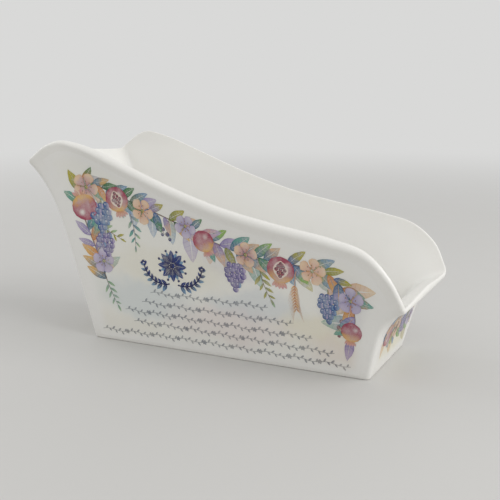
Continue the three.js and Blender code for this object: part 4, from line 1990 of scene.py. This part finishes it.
@dataclass(frozen=True)
class Studio:
    """Plain pale table, soft lamps, and the camera at the photograph's viewing angle."""

    camera_place: tuple[float, float, float] = (0.26226, -0.52623, 0.1918)
    elevation: float = 11.9
    azimuth: float = 25.71
    focal_length: float = 59.7
    table_colour: str = "c9c8c5"
    sky_colour: str = "d9d9d8"
    sky_strength: float = 0.65
    table_sides: int = 96
    table_radii: tuple[float, ...] = (0.5, 1.2, 3.0)
    fade_start: float = 0.4  # the table turns into the sky's colour between these distances, in metres
    fade_end: float = 1.7
    lamps: tuple[Softbox, ...] = (
        Softbox("softbox_right", (1.3, -0.1, 1.0), (0.0, 0.0, 0.06), 1.2, 1.0, 12.6),
        Softbox("softbox_left", (-1.4, 0.0, 0.9), (0.0, 0.0, 0.06), 1.0, 0.8, 5.0),
    )

    def camera(self) -> None:
        """Sets up the camera."""
        lens = bpy.data.cameras.new("camera")
        lens.sensor_width = 36.0
        lens.lens = self.focal_length
        lens.clip_start = 0.01
        holder = bpy.data.objects.new("camera", lens)
        holder.location = self.camera_place
        holder.rotation_euler = (math.radians(90 - self.elevation), 0.0, math.radians(self.azimuth))
        bpy.context.scene.collection.objects.link(holder)
        bpy.context.scene.camera = holder

    def shown(self, node: AddNode) -> Node:
        """Picks out the rays that show the plain background.

        Args:
            node: The function that adds a node to the tree.

        Returns:
            A node that gives 1 for the camera's, mirrored and refracted rays, and 0 for the others.
        """
        rays = node("ShaderNodeLightPath").outputs
        seen = rays["Is Camera Ray"]
        for kind in ("Is Glossy Ray", "Is Transmission Ray"):
            seen = node("ShaderNodeMath", {0: seen, 1: rays[kind]}, operation="MAXIMUM")
        return seen

    def table(self) -> None:
        """Makes the table top, which runs out into the sky's colour far behind the stand."""
        points, faces = disc(self.table_sides, self.table_radii)
        table = mesh_object("table_top", points / MM, faces, {})
        material, node = new_material("matt_painted_table")
        place = node("ShaderNodeTexCoord").outputs["Object"]
        mottle = node("ShaderNodeTexNoise", {"Vector": place, "Scale": 40.0, "Detail": 4.0})
        roughness = node("ShaderNodeMapRange", {"Value": mottle, "To Min": 0.5, "To Max": 0.62})
        surface = {"Base Color": linear(self.table_colour), "Roughness": roughness}
        surface = node("ShaderNodeBsdfPrincipled", surface)
        sky = node("ShaderNodeEmission", {"Color": linear(self.sky_colour), "Strength": 1.0})
        far = node("ShaderNodeVectorMath", {0: place}, operation="LENGTH").outputs["Value"]
        far = node(
            "ShaderNodeMapRange",
            {"Value": far, "From Min": self.fade_start, "From Max": self.fade_end},
            interpolation_type="SMOOTHSTEP",
        )
        far = node("ShaderNodeMath", {0: far, 1: self.shown(node)}, operation="MULTIPLY")
        shader = node("ShaderNodeMixShader", {0: far, 1: surface, 2: sky})
        node("ShaderNodeOutputMaterial", {"Surface": shader})
        table.data.materials.append(material)
        table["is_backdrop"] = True

    def sky(self) -> None:
        """Lights the scene evenly, and shows the camera and the glossy surfaces a plain pale background."""
        world = bpy.data.worlds.new("studio")
        world.use_nodes = True
        tree = world.node_tree
        tree.nodes.clear()
        node = partial(add_node, tree)
        light = node("ShaderNodeBackground", {"Color": (1.0, 1.0, 1.0, 1.0), "Strength": self.sky_strength})
        shown = node("ShaderNodeBackground", {"Color": linear(self.sky_colour), "Strength": 1.0})
        background = node("ShaderNodeMixShader", {0: self.shown(node), 1: light, 2: shown})
        node("ShaderNodeOutputWorld", {"Surface": background})
        bpy.context.scene.world = world

    def build(self) -> None:
        """Sets up the whole studio."""
        self.camera()
        self.table()
        self.sky()
        for lamp in self.lamps:
            lamp.build()
        bpy.context.scene.view_settings.view_transform = "Standard"


def write_sizes() -> None:
    """Works out the CAD model's box and the visual model's box, but neither writes nor keeps them."""
    boxes = {
        name: [list(map(float, corner)) for corner in box]
        for name, box in (("cad", CAD_BOX), ("visual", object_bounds()))
    }


def main() -> None:
    """Builds the stand and its studio in order and reports each piece."""
    logging.basicConfig(level=logging.INFO, format="%(name)s: %(message)s")
    Studio().build()
    moulding = Moulding()
    rule, printing = wall_rule_tree(), print_tree()
    trough = moulding.trough(rule, MouldedMelamine().build())
    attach(trough, "root")
    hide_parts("trough")
    pieces = [trough]
    motifs = bpy.data.collections.new("motifs")
    bpy.context.scene.collection.children.link(motifs)
    for motif in Motif:
        shape = template(motif)
        bpy.context.scene.collection.objects.unlink(shape)
        motifs.objects.link(shape)
    for wall, seed in ((Wall.FRONT, 11), (Wall.LOW_END, 23), (Wall.BACK, 37), (Wall.HIGH_END, 41)):
        pieces += PrintedWall(wall, moulding, seed).build(rule, printing, motifs, OverlaidPrint())
    for shape in list(motifs.objects):
        discard(shape)
    bpy.data.collections.remove(motifs)
    for piece in pieces:
        piece.data.calc_loop_triangles()
        log.info("%s: %d triangles", piece.name, len(piece.data.loop_triangles))
    write_sizes()


if __name__ == "__main__":
    main()
